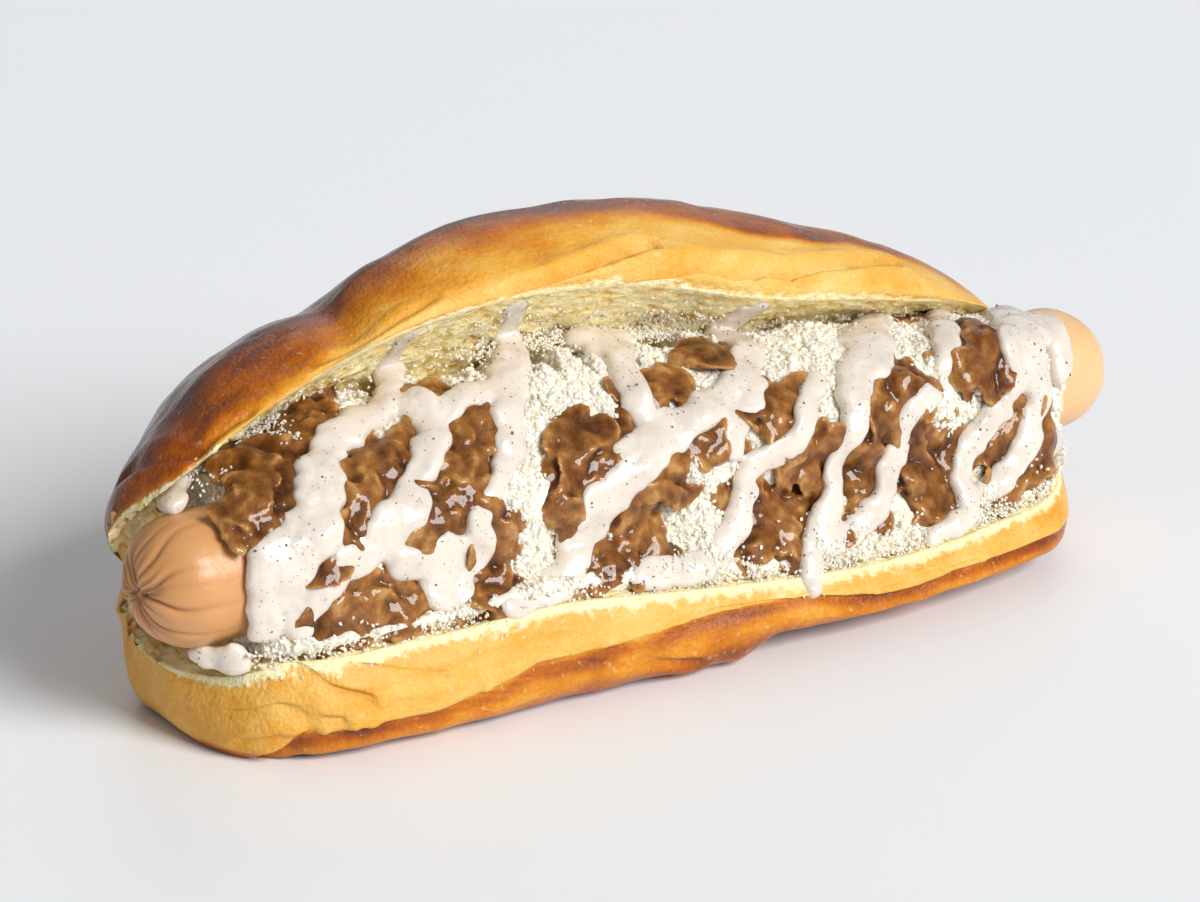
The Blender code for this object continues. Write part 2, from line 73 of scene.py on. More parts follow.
# Azimuth, elevation, distance, size, power and colour of each light
LIGHTS = {
    "key_light": (13, 33, 10.0, 4.5, 1130.0, (0.985, 0.99, 1.0)),
    "back_light": (142, 30, 2.2, 1.5, 5.5, (0.95, 0.97, 1.0))}
ROOM_COLOUR = (0.97, 0.98, 1.0, 1.0)
ROOM_LIGHT = 0.255
FLOOR_COLOUR = (0.945, 0.958, 0.968, 1.0)
FLOOR_SIZE = 30.0


def aim(item, azimuth, elevation, distance):
    """Put a camera or a light at these degrees and this distance from the target, looking at it."""
    turned, raised_by = math.radians(azimuth), math.radians(elevation)
    flat = math.cos(raised_by)
    towards = Vector((math.sin(turned) * flat, -math.cos(turned) * flat, math.sin(raised_by)))
    item.location = CAMERA_TARGET + towards * distance
    item.rotation_euler = (CAMERA_TARGET - item.location).to_track_quat("-Z", "Y").to_euler()


def add_object(name, data):
    """New object in the scene."""
    item = bpy.data.objects.new(name, data)
    bpy.context.scene.collection.objects.link(item)
    return item


scene = bpy.context.scene
scene.view_settings.view_transform = "Standard"
camera = add_object("camera", bpy.data.cameras.new("camera"))
camera.data.lens = LENS
camera.data.sensor_width = SENSOR
aim(camera, CAMERA_AZIMUTH, CAMERA_ELEVATION, CAMERA_DISTANCE)
scene.camera = camera
for name, (azimuth, elevation, distance, size, power, colour) in LIGHTS.items():
    lamp = bpy.data.lights.new(name, "AREA")
    lamp.size = size
    lamp.energy = power
    lamp.color = colour
    aim(add_object(name, lamp), azimuth, elevation, distance)
room = bpy.data.worlds.new("room")
room.use_nodes = True
room.node_tree.nodes["Background"].inputs["Color"].default_value = ROOM_COLOUR
room.node_tree.nodes["Background"].inputs["Strength"].default_value = ROOM_LIGHT
scene.world = room


def fill(tree, node, inputs):
    """Link each named input of a node to a socket, or give it a plain value."""
    for name, value in inputs.items():
        if isinstance(value, bpy.types.NodeSocket):
            tree.links.new(value, node.inputs[name])
        else:
            node.inputs[name].default_value = value


def new_finish(name):
    """Material with its node tree and its Principled shader."""
    finish = bpy.data.materials.new(name)
    finish.use_nodes = True
    return finish, finish.node_tree, finish.node_tree.nodes["Principled BSDF"]


floor_finish, tree, shader = new_finish("pale_floor")
fill(tree, shader, {"Base Color": FLOOR_COLOUR, "Roughness": 0.45, "Specular IOR Level": 0.25})
half = FLOOR_SIZE / 2
floor_mesh = bpy.data.meshes.new("floor")
floor_mesh.from_pydata([(-half, -half, 0), (half, -half, 0), (half, half, 0), (-half, half, 0)], [],
                       [(0, 1, 2, 3)])
floor_mesh.materials.append(floor_finish)
floor = add_object("floor", floor_mesh)
floor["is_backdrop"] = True

# Roll: a soft milk roll, split along one side and opened like a book. Its glazed top is baked
# dark at the crown and pale at the lips, and the cut faces are open yellow crumb.
METRES = 0.001
BASE_MIDDLE = np.array((0.4, -1.63, 0.0))
# Every piece stays this far inside the CAD's box
BOX_MARGIN = 0.00002
BOX_LOW = np.array(cad_low) + BOX_MARGIN
BOX_HIGH = np.array(cad_high) - BOX_MARGIN
ROLL_LEFT = -97.0
ROLL_RIGHT = 97.0
# Lengths of the rounded ends, and how far the lower lip droops at the left one
LEFT_CAP = 6.5
RIGHT_CAP = 13.0
LEFT_DROOP = 4.0
END_RIM = 0.04
ROLL_STATIONS = 330
END_CROWD = 0.16
# Places along the roll, and at each the lips, the crown, the back and the corner of the cut faces
PLACES = (-98, -91, -78, -56, -28, 0, 30, 60, 84, 96)
LIP_LOW_Y = (-5, -18.5, -27, -31, -32.5, -34.5, -36, -34.5, -26, -8)
LIP_LOW_Z = (18, 18, 18, 18.5, 18.7, 15.6, 13, 13.2, 15, 17)
LIP_UP_Y = (1, -9.5, -9.7, -8, -8, -8, -8, -7.6, -3.7, 1)
LIP_UP_Z = (37, 46.5, 53.5, 61, 65.3, 63.3, 55, 48.8, 41, 32)
CROWN_Z = (39, 48, 56.5, 65, 73, 74, 67, 57, 44, 34)
BACK_Y = (10, 15, 24, 31, 34, 35, 35, 33.5, 27, 17)
CORNER_Y = (5, 7, 8.5, 9.5, 10, 10, 10, 10, 8.5, 7)
CORNER_RISE = 1.5
# Distance along the crust from the lower lip to each key point of its outline, at mid length
CRUST_ARC = (0, 5.1, 11, 16.8, 24.4, 50.1, 70.9, 80.8, 90.3, 103.1, 116.5, 133.3, 156.1, 167.3,
             178.1, 183.1, 185.8)


def curve_between(t, span, first, second, slope, next_slope):
    """Smooth curve from one value to the next, at share t of the span between them."""
    start = (2 * t**3 - 3 * t**2 + 1) * first + (t**3 - 2 * t**2 + t) * span * slope
    end = (3 * t**2 - 2 * t**3) * second + (t**3 - t**2) * span * next_slope
    return start + end


def along(x, values, places=PLACES):
    """Value at x on a smooth curve through one value for each place along the roll."""
    places = np.asarray(places, float)
    values = np.asarray(values, float)
    slope = np.gradient(values, places)
    x = np.clip(x, places[0], places[-1])
    i = np.clip(np.searchsorted(places, x) - 1, 0, len(places) - 2)
    span = places[i + 1] - places[i]
    return curve_between((x - places[i]) / span, span, values[i], values[i + 1], slope[i], slope[i + 1])


def smooth(keys, number):
    """Points on a smooth curve through the key points, at the given key numbers."""
    slope = np.gradient(keys, axis=-2)
    i = np.clip(number.astype(int), 0, keys.shape[-2] - 2)
    t = (number - i)[:, None]
    return curve_between(t, 1, keys[..., i, :], keys[..., i + 1, :], slope[..., i, :], slope[..., i + 1, :])


def stack(pairs):
    """Array of (y, z) key points, one row for each place along the roll."""
    return np.stack([np.stack(np.broadcast_arrays(*pair), -1) for pair in pairs], -2)


def lips(x):
    """Both lips at x, the height of the corner between the cut faces, and the rise from there."""
    lip_z, top_z = along(x, LIP_LOW_Z), along(x, LIP_UP_Z)
    corner_z = lip_z + CORNER_RISE
    return along(x, LIP_LOW_Y), lip_z, along(x, LIP_UP_Y), top_z, corner_z, top_z - corner_z


def crust_keys(x):
    """Crust from the lower lip under the roll, up its back and over the crown to the upper lip."""
    lip_y, lip_z, top_y, top_z, corner_z, rise = lips(x)
    crown, back = along(x, CROWN_Z), along(x, BACK_Y)
    deep = back - lip_y
    return stack([
        (lip_y, lip_z),
        (lip_y - 2.6, 0.72 * lip_z),
        (lip_y - 2.4, 0.34 * lip_z),
        (lip_y + 1.5, 0.07 * lip_z),
        (lip_y + 0.13 * deep, 0.0),
        (lip_y + 0.50 * deep, 0.0),
        (lip_y + 0.80 * deep, 0.0),
        (back - 0.065 * deep, 0.20 * lip_z),
        (back - 0.5, 0.75 * lip_z),
        (back + 0.3, corner_z + 0.16 * rise),
        (back - 0.5, corner_z + 0.45 * rise),
        (back - 0.07 * deep, corner_z + 0.80 * rise),
        (0.45 * back + 0.55 * top_y + 4, crown - 2.5),
        (0.22 * back + 0.78 * top_y + 3, crown),
        (top_y + 2.5, 0.62 * crown + 0.38 * top_z),
        (top_y - 0.6, 0.25 * crown + 0.75 * top_z),
        (top_y, top_z)])


def cut_keys(x):
    """Cut face from the lower lip in to the corner and up to the upper lip."""
    lip_y, lip_z, top_y, top_z, corner_z, rise = lips(x)
    corner = along(x, CORNER_Y)
    wide = corner - lip_y
    lean = top_y - corner
    return stack([
        (lip_y, lip_z),
        (lip_y + 0.035 * wide, lip_z),
        (lip_y + 0.09 * wide, lip_z),
        (lip_y + 0.18 * wide, lip_z - 0.2),
        (lip_y + 0.36 * wide, lip_z - 0.4),
        (lip_y + 0.65 * wide, lip_z - 0.4),
        (lip_y + 0.91 * wide, lip_z - 0.2),
        (lip_y + 0.975 * wide, lip_z + 0.3),
        (corner, corner_z),
        (corner + 0.2, corner_z + 0.10 * rise),
        (corner - 0.3, corner_z + 0.30 * rise),
        (corner + 0.12 * lean, corner_z + 0.55 * rise),
        (corner + 0.40 * lean, corner_z + 0.76 * rise),
        (corner + 0.67 * lean, corner_z + 0.88 * rise),
        (corner + 0.85 * lean, corner_z + 0.945 * rise),
        (corner + 0.95 * lean, corner_z + 0.98 * rise),
        (top_y, top_z)])


def bump(value, centre, reach):
    """One at the centre, falling smoothly to nothing past the reach."""
    return np.exp(-((value - centre) / reach) ** 2)


def step(value, start, end):
    """Smooth step from 0 at start to 1 at end."""
    t = np.clip((value - start) / (end - start), 0, 1)
    return t * t * (3 - 2 * t)


def lumps(points, size, seed=0):
    """Smooth random field from -1 to 1 over points, with lumps of about that size."""
    cell = np.floor(points / size).astype(np.int64)
    part = points / size - cell
    part = part * part * (3 - 2 * part)
    total = 0.0
    for corner in itertools.product((0, 1), repeat=3):
        key = cell + corner
        mixed = key[..., 0] * 73856093 ^ key[..., 1] * 19349663 ^ key[..., 2] * 83492791 ^ seed * 40503
        mixed = (mixed ^ mixed >> 13) * 1274126177
        mixed = (mixed ^ mixed >> 16) & 0xFFFF
        share = np.prod(np.where(corner, part, 1 - part), axis=-1)
        total = total + share * (mixed / 32767.5 - 1)
    return total


def line_distance(x, arc, way):
    """Distance in millimetres from each (x, arc) to a line of (x, crust key) way points."""
    way = [(px, float(np.interp(key, range(len(CRUST_ARC)), CRUST_ARC))) for px, key in way]
    nearest = np.full(np.broadcast(x, arc).shape, 1e3)
    for (ax, aa), (bx, ba) in zip(way, way[1:]):
        run, lift = bx - ax, ba - aa
        t = np.clip(((x - ax) * run + (arc - aa) * lift) / (run * run + lift * lift), 0, 1)
        nearest = np.minimum(nearest, np.hypot(x - ax - t * run, arc - aa - t * lift))
    return nearest


# Creases in the crust: depth and half width in millimetres, then (place along, crust key) points
GROOVE_WAY = ((-87, 3.3), (-84, 2.6), (-80, 2.1), (-70, 2.0), (-62, 2.1), (-54, 2.0), (-46, 1.9),
              (-36, 1.6), (-28, 1.6), (-20, 1.45), (-12, 1.4), (-5, 1.15), (6, 1.0), (20, 0.95),
              (25, 1.2), (32, 1.4), (42, 1.45), (50, 1.3), (60, 1.4), (72, 1.4), (84, 1.7))
CREASES = (
    (1.6, 1.0, ((-80, 0.1), (-75, 0.9), (-68, 1.35))),
    (1.3, 0.9, ((-91, 1.3), (-85, 1.2), (-79, 1.6), (-73, 1.6))),
    (0.9, 0.8, ((-90, 2.1), (-84, 2.0), (-78, 1.9))),
    (1.0, 0.9, ((-70, 0.3), (-62, 0.9), (-54, 1.2))),
    (0.8, 0.8, ((-66, 1.6), (-56, 1.5), (-48, 1.6))),
    (0.6, 0.6, ((-48, 0.9), (-38, 0.8), (-30, 0.9))),
    (0.9, 0.9, ((-22, 1.6), (-14, 1.9), (-4, 2.2))),
    (0.5, 0.5, ((-8, 0.8), (4, 0.7), (14, 0.75))),
    (0.6, 0.6, ((34, 1.0), (44, 0.9), (56, 1.0))),
    (0.5, 0.6, ((62, 0.9), (72, 0.8), (82, 0.9))),
    (1.7, 1.0, ((0, 15.5), (8, 15.1), (15, 14.6), (22, 14.7), (30, 14.4), (36, 14.4), (42, 14.1),
                (50, 13.95), (62, 13.8))),
    (1.3, 1.0, ((-24, 15.1), (-10, 14.6), (0, 14.3), (6, 14.0))),
    (0.6, 0.7, ((-6, 14.4), (0, 13.95), (7, 14.2))),
    (0.5, 0.7, ((35, 14.4), (36, 15.0))),
    (0.5, 0.7, ((28, 14.6), (27, 15.2))),
    (0.5, 0.7, ((65, 14.2), (66, 14.9))),
    (0.5, 0.6, ((-26, 15.2), (-27, 15.9))),
    (1.0, 1.3, ((-92, 12.0), (-90, 13.2), (-85, 14.0), (-76, 14.5))),
    (0.5, 0.8, ((-62, 14.2), (-50, 14.5), (-38, 14.3))))


def crust_relief(x, key):
    """How far the crust stands out: dents in the crown, the fold along the front, creases."""
    arc = np.interp(key, range(len(CRUST_ARC)), CRUST_ARC)
    dent = -1.9 * bump(x, -52 + 1.6 * (13 - key), 4.5) * step(key, 10.5, 12.5) * step(-key, -15.6, -14)
    lobe = -1.6 * bump(x, -88 + 2.2 * (15 - key), 3.5) * step(key, 11.5, 13.5)
    tuck = -2.6 * bump(key, 3.1, 1.0) * step(x, 6, 14) * step(-x, -92, -80)
    flap = 0.9 * bump(key, 2.3, 0.8) * step(-x, -8, -4)
    swell = 0.5 * np.sin(0.13 * x + 0.9 * key) * step(key, 8, 9)
    relief = dent + lobe + tuck + flap + swell
    groove = line_distance(x, arc, GROOVE_WAY)
    relief = relief - 1.5 * bump(groove, 0, 0.9) + 0.45 * bump(groove, 2.6, 1.4)
    for depth, wide, way in CREASES:
        away = line_distance(x, arc, way)
        relief = relief - depth * bump(away, 0, wide) + 0.4 * depth * bump(away, 2.4 * wide, 1.1 * wide)
    return relief


def end_share(x):
    """Share of its full thickness that the roll has at x: all of it, but for its rounded ends."""
    inside = np.clip(np.minimum((x - ROLL_LEFT) / LEFT_CAP, (ROLL_RIGHT - x) / RIGHT_CAP), 0, 1)
    return END_RIM + (1 - END_RIM) * np.sqrt(1 - (1 - inside) ** 2.3)


def end_pull(x, key):
    """How far the left end is drawn in: the lower half by a little, and the hinge the most."""
    low = 4.2 * step(-key, -9.0, -8.0)
    hinge = 7.0 * bump(key, 9.6, 1.4)
    return (0.2 + np.maximum(low, hinge)) * step(-x, 68, 97)


def crust_bake_and_painted_light(x, key, z):
    """How dark the crust is, from 0 at a pale lip to 1 at the darkest glaze: its bake, with a painted shade
    line and a painted sheen.
    """
    places = (-97, -78, -58, -42, -22, 0, 20, 60, 76, 92)
    edge = along(x, (13.9, 13.45, 12.95, 12.85, 12.9, 13.15, 13.4, 13.45, 13.6, 14.2), places)
    wide = along(x, (1.7, 1.7, 1.5, 1.3, 0.9, 0.45, 0.18, 0.18, 0.4, 0.9), places)
    lip = 0.21 + 0.12 * step(-x, 30, 70) + 0.17 * step(-key, -14.9, -13.5) * step(-x, -20, 20)
    # Right of the middle the crown is painted lighter, a painted sheen of the glaze there
    crown = 0.82 - 0.12 * step(x, -5, 15)
    top = crown + (lip - crown) * step(key, edge - wide, edge + wide) - 0.08 * step(key, 14.6, 16)
    hinge = 0.36 + 0.46 * step(key, 9.2, 11.2)
    groove = np.interp(x, *zip(*GROOVE_WAY))
    front = 0.22 + 0.23 * step(key, groove - 0.1, groove + 0.2)
    front = front + 0.20 * step(key, groove + 0.5, groove + 1.3)
    # A thin dark line is painted along the groove, painted shade under the flap of crust
    front = front + 0.28 * bump(key, groove + 0.08, 0.12) * step(x, -88, -82) - 0.06 * step(-key, -0.5, 0)
    ends = 0.08 * step(np.abs(x), 55, 80)
    under = 0.62 - 0.24 * step(key, 6.6, 8.2)
    low = np.where(key < 3.5, front + ends, under)
    low = np.where(key < 3.5, low, low + (front + ends - under) * step(-key, -4.6, -3.5))
    tip = step(-x, 80, 88) * step(key, 1.0, 2.0)
    low = low + (0.28 + 0.38 * step(-z, -2.5, -0.3) - low) * tip
    return np.where(key < 8.6, low, np.where(key < 12.5, hinge, np.minimum(top, hinge)))


def in_frame(points):
    """Points in the roll's millimetres as points in the frame, kept inside the CAD's box."""
    placed = (np.asarray(points, float) - BASE_MIDDLE) * METRES
    return np.clip(placed, BOX_LOW, BOX_HIGH)


def add_mask(mesh, name, values):
    """Give each point of a mesh a value, which its material or its grains go by."""
    attribute = mesh.attributes.new(name, "FLOAT", "POINT")
    attribute.data.foreach_set("value", np.asarray(values, np.float32).ravel())


def new_piece(name, points, faces, finish, masks=()):
    """Object at the origin, with a smooth closed mesh facing out and its masks as attributes."""
    mesh = bpy.data.meshes.new(name)
    mesh.from_pydata(in_frame(points), [], faces)
    for mask, values in masks:
        add_mask(mesh, mask, values)
    shape = bmesh.new()
    shape.from_mesh(mesh)
    bmesh.ops.recalc_face_normals(shape, faces=shape.faces)
    if shape.calc_volume(signed=True) < 0:
        bmesh.ops.reverse_faces(shape, faces=shape.faces)
    shape.to_mesh(mesh)
    shape.free()
    mesh.shade_smooth()
    mesh.materials.append(finish)
    return add_object(name, mesh)


def tube_faces(rings, sides):
    """Quads between rings of points that lie one after another."""
    ring, side = np.meshgrid(np.arange(rings - 1), np.arange(sides), indexing="ij")
    after = (side + 1) % sides
    quads = np.stack([ring * sides + side, ring * sides + after,
                      (ring + 1) * sides + after, (ring + 1) * sides + side], -1)
    return quads.reshape(-1, 4).tolist()


def add_node(tree, kind, inputs, **settings):
    """New node with its settings, and with its inputs linked or given plain values."""
    node = tree.nodes.new(kind)
    for name, value in settings.items():
        setattr(node, name, value)
    fill(tree, node, inputs)
    return node


def maths(tree, operation, first, second=0.0, clamp=False):
    """Result of a Math node."""
    node = add_node(tree, "ShaderNodeMath", {0: first, 1: second}, operation=operation, use_clamp=clamp)
    return node.outputs[0]


def mask_of(tree, name):
    """Value of a mesh attribute."""
    return add_node(tree, "ShaderNodeAttribute", {}, attribute_name=name).outputs["Fac"]


def colours(tree, value, stops):
    """Colour ramp through (position, (red, green, blue)) stops."""
    node = add_node(tree, "ShaderNodeValToRGB", {"Fac": value})
    ramp = node.color_ramp
    while len(ramp.elements) < len(stops):
        ramp.elements.new(1.0)
    for element, (position, colour) in zip(ramp.elements, stops):
        element.position = position
        element.color = (*colour, 1.0)
    return node.outputs["Color"]


def blend_colours(tree, share, first, second):
    """Mix of two colours."""
    inputs = {"Factor": share, "A": first, "B": second}
    return add_node(tree, "ShaderNodeMix", inputs, data_type="RGBA").outputs["Result"]


def mapped(tree, value, low, high, to_low, to_high):
    """Value carried over from one range to another."""
    inputs = {"Value": value, "From Min": low, "From Max": high, "To Min": to_low, "To Max": to_high}
    return add_node(tree, "ShaderNodeMapRange", inputs).outputs["Result"]


def raised(tree, height, depth, below=None):
    """Normal from a height of 0 to 1, as deep as that many metres."""
    inputs = {"Height": height, "Distance": depth}
    if below is not None:
        inputs["Normal"] = below
    return add_node(tree, "ShaderNodeBump", inputs).outputs["Normal"]


def new_group(name, kind, inputs, outputs):
    """Node group with these named sockets, and what its inputs bring in."""
    group = bpy.data.node_groups.new(name, kind)
    for way, sockets in (("INPUT", inputs), ("OUTPUT", outputs)):
        for socket, value_kind in sockets.items():
            group.interface.new_socket(socket, in_out=way, socket_type="NodeSocket" + value_kind)
    return group, group.nodes.new("NodeGroupInput").outputs


def make_mottle():
    """Group with a patchy value from 0 to 1, its patches as wide and stretched as it is told."""
    group, told = new_group("mottle", "ShaderNodeTree", {
        "Patches": "Float", "Stretch": "Vector", "Detail": "Float"}, {"Value": "Float"})
    place = group.nodes.new("ShaderNodeTexCoord").outputs["Object"]
    stretched = add_node(group, "ShaderNodeVectorMath", {0: place, 1: told["Stretch"]}, operation="DIVIDE")
    noise = add_node(group, "ShaderNodeTexNoise", {
        "Vector": stretched.outputs[0], "Detail": told["Detail"],
        "Scale": maths(group, "DIVIDE", 1.0, told["Patches"])})
    add_node(group, "NodeGroupOutput", {"Value": noise.outputs["Fac"]})
    return group


mottle = make_mottle()


def patches(tree, size, detail=3.0, stretch=(1.0, 1.0, 1.0)):
    """Patchy value from 0 to 1, with patches of that size in metres."""
    inputs = {"Patches": size, "Stretch": stretch, "Detail": detail}
    return add_node(tree, "ShaderNodeGroup", inputs, node_tree=mottle).outputs["Value"]


def varied(tree, size, detail, low, high, stretch=(1.0, 1.0, 1.0)):
    """Value that goes from low to high and back from patch to patch."""
    return mapped(tree, patches(tree, size, detail, stretch), 0.3, 0.7, low, high)


bread, tree, shader = new_finish("glazed_bread")
blotch = varied(tree, 0.011, 5.0, -0.09, 0.09)
streak = varied(tree, 0.0035, 4.0, -0.05, 0.05, (3.5, 1.0, 1.0))
speckle = varied(tree, 0.0009, 2.0, -0.03, 0.03)
uneven = maths(tree, "ADD", blotch, maths(tree, "ADD", streak, speckle))
# The bake mask also carries a painted shade line along the groove and a painted sheen on the right of the
# crown
tone = maths(tree, "ADD", mask_of(tree, "bake_and_painted_light"), uneven, True)
crust_colour = colours(tree, tone, (
    (0.00, (0.86, 0.66, 0.31)), (0.16, (0.81, 0.50, 0.13)), (0.32, (0.75, 0.37, 0.045)),
    (0.46, (0.63, 0.215, 0.008)), (0.60, (0.43, 0.106, 0.002)), (0.74, (0.225, 0.045, 0.003)),
    (0.88, (0.098, 0.022, 0.006)), (1.00, (0.055, 0.016, 0.008))))
# The crumb is painted darker and more orange in its pores, painted shade in the holes
depth = maths(tree, "ADD", mask_of(tree, "pore_shade"), varied(tree, 0.0022, 4.0, -0.25, 0.25), True)
crumb_colour = colours(tree, depth, (
    (0.0, (0.98, 0.85, 0.50)), (0.3, (0.98, 0.77, 0.36)), (0.65, (0.96, 0.66, 0.23)),
    (1.0, (0.84, 0.50, 0.13))))
ragged = maths(tree, "ADD", mask_of(tree, "crumb"), varied(tree, 0.0016, 3.0, -0.35, 0.35))
opened = mapped(tree, ragged, 0.25, 0.75, 0.0, 1.0)
glaze = mapped(tree, tone, 0.2, 0.8, 0.40, 0.24)
shine = mapped(tree, tone, 0.15, 0.8, 0.03, 0.34)
wrinkle = raised(tree, patches(tree, 0.0022, 4.0, (2.4, 1.0, 1.0)), 0.0005)
sponge = raised(tree, maths(tree, "MULTIPLY", patches(tree, 0.0012, 4.0), opened), 0.0006, wrinkle)
fill(tree, shader, {
    "Base Color": blend_colours(tree, opened, crust_colour, crumb_colour),
    "Roughness": maths(tree, "ADD", glaze, maths(tree, "MULTIPLY", opened, 0.5), True),
    "Specular IOR Level": 0.2,
    "Coat Weight": maths(tree, "MULTIPLY", shine, maths(tree, "SUBTRACT", 1.0, opened)),
    "Coat Roughness": 0.20,
    "Subsurface Weight": 0.28,
    "Subsurface Radius": (1.0, 0.5, 0.2),
    "Subsurface Scale": 0.003,
    "Normal": raised(tree, patches(tree, 0.0007, 3.0), 0.0003, sponge)})

stations = np.linspace(-1, 1, ROLL_STATIONS)
stations = 0.5 * (ROLL_LEFT + ROLL_RIGHT) + 0.5 * (ROLL_RIGHT - ROLL_LEFT) * (
    stations + END_CROWD * np.sin(math.pi * stations))
# Outline points lie closest where the front and the crown show
outline = np.concatenate([np.linspace(0, 3.5, 40, endpoint=False), np.linspace(3.5, 7, 12, endpoint=False),
                          np.linspace(7, 10.5, 20, endpoint=False), np.linspace(10.5, 16, 70)])
crust = smooth(crust_keys(stations), outline)
cut = smooth(cut_keys(stations), outline)
droop = LEFT_DROOP * step(-stations, 80, 95)[:, None]
crust[..., 1] -= droop * step(-outline, -3, 0)
cut[..., 1] -= droop * step(-outline, -8, -3)
outward = crust - cut
thickness = np.linalg.norm(outward, axis=-1, keepdims=True)
relief = crust_relief(stations[:, None], outline[None, :])
wide_x = np.broadcast_to(stations[:, None], relief.shape)
wide_key = np.broadcast_to(outline[None, :], relief.shape)
solid = np.stack([wide_x, crust[..., 0], crust[..., 1]], -1)
relief = relief + 0.35 * lumps(solid, 7.0, 1) + 0.16 * lumps(solid * (0.5, 1, 1), 2.4, 2)
# At the left end the crumb of the upper half is torn open as far as this key of its crust
torn_key = 16.2 - 1.8 * step(-wide_x, 75, 85)
laid_bare = step(wide_key, torn_key - 0.15, torn_key + 0.3) * step(-wide_x, 74, 78)
relief = relief - laid_bare * np.minimum(0.4 * thickness[..., 0], 1.6 + 0.8 * lumps(solid, 1.8, 8))
crust = crust + relief[..., None] * outward / np.maximum(thickness, 1.0)
crust = cut + (crust - cut) * end_share(stations)[:, None, None]
crust[..., 1] = np.maximum(crust[..., 1], 0.0)
# Pores of the open crumb: shallow by the lips, deeper on the wide faces
face = np.stack([wide_x, cut[..., 0], cut[..., 1]], -1)
open_face = step(wide_key, 0, 1.0) * step(-wide_key, -16, -15.2)
pore = step(0.6 * lumps(face, 1.5, 3) + 1.1 * lumps(face, 0.9, 4), -0.2, 1.1)
torn = step(-wide_x, 62, 80)
grain = 0.30 * lumps(face, 0.9, 5) + 0.6 * lumps(face, 5.0, 6) + 0.9 * torn * lumps(face, 2.6, 7)
sunk = open_face * ((0.9 + 0.9 * torn) * pore - grain)
cut = cut + sunk[..., None] * outward / np.maximum(thickness, 1.0) * (thickness > 3.0)
inner = slice(-2, 0, -1)
ring = np.concatenate([crust, cut[:, inner]], axis=1)
pulled = wide_x + end_pull(wide_x, wide_key)
pulled = np.concatenate([pulled, pulled[:, inner]], axis=1)[..., None]
points = np.concatenate([pulled, ring], -1)
sides = ring.shape[1]
faces = tube_faces(ROLL_STATIONS, sides)
last = len(outline) - 1
for base in (0, (ROLL_STATIONS - 1) * sides):
    for i in range(last):
        facing = i + 1 if i + 1 == last else sides - i - 1
        corners = (base + i, base + i + 1, base + facing, base + (sides - i) % sides)
        faces.append(tuple(dict.fromkeys(corners)))
rim = step(-wide_key, -0.6, 0.0) + laid_bare + 0.7 * step(wide_key, 15.2, 16.0)
inside = np.zeros(wide_key[:, inner].shape)
# Crust bake, with its painted shade line along the groove and its painted sheen on the right of the crown
bake_and_painted_light_mask = np.concatenate([crust_bake_and_painted_light(wide_x, wide_key, crust[..., 1]), inside + 0.3], axis=1)
crumb_mask = np.concatenate([np.minimum(rim, 1), inside + 1], axis=1)
# Painted shade in the pores of the open crumb
pore_shade_mask = np.concatenate([laid_bare * pore, (open_face * pore)[:, inner]], axis=1)
bun = new_piece("roll", points.reshape(-1, 3), faces, bread,
                (("bake_and_painted_light", bake_and_painted_light_mask), ("crumb", crumb_mask), ("pore_shade", pore_shade_mask)))
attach(bun, "root")
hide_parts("bun")

# Sausage: a thin-skinned frankfurter, longer than the roll. Its left end is drawn together and
# shows the sharp creases of the twist, and its right end is plain.
# The right end stands past the middle by SAUSAGE_HALF, and the left end stops a little short of it
SAUSAGE_RADIUS = 11.4
SAUSAGE_HALF = 102.5
SAUSAGE_SHORT = 2.2
SAUSAGE_Y = -11.5
SAUSAGE_Z = 30.3
SAUSAGE_SIDES = 200
DOME_LENGTH = 11.0
DOME_RINGS = 64
BODY_RINGS = 70
TWIST_FRONT = 1.0
TWIST_CREASES = 23


def closed_tube(rings, sides):
    """Faces of a tube that closes in a point at each end, both points after all its rings."""
    faces = tube_faces(rings, sides)
    pole = rings * sides
    last_ring = pole - sides
    for i in range(sides):
        after = (i + 1) % sides
        faces.append((after, i, pole))
        faces.append((last_ring + i, last_ring + after, pole + 1))
    return faces


def with_poles(points, sides):
    """Points of a tube, and the middle of its first and of its last ring."""
    return np.concatenate([points, [points[:sides].mean(0), points[-sides:].mean(0)]])


turn = np.linspace(0.02, 0.5 * math.pi, DOME_RINGS)
dome_x = DOME_LENGTH * (1 - np.cos(turn))
dome_radius = SAUSAGE_RADIUS * np.sin(turn) ** 0.9
body_x = np.linspace(-SAUSAGE_HALF + DOME_LENGTH, SAUSAGE_HALF - DOME_LENGTH, BODY_RINGS)[1:-1]
ring_x = np.concatenate([-SAUSAGE_HALF + dome_x, body_x, SAUSAGE_HALF - dome_x[::-1]])
ring_radius = np.concatenate([dome_radius, np.full(len(body_x), SAUSAGE_RADIUS), dome_radius[::-1]])
angle = np.linspace(0, 2 * math.pi, SAUSAGE_SIDES, endpoint=False)
skin_x = np.broadcast_to(ring_x[:, None], (len(ring_x), SAUSAGE_SIDES))
skin_y = ring_radius[:, None] * np.cos(angle)
skin_z = ring_radius[:, None] * np.sin(angle)
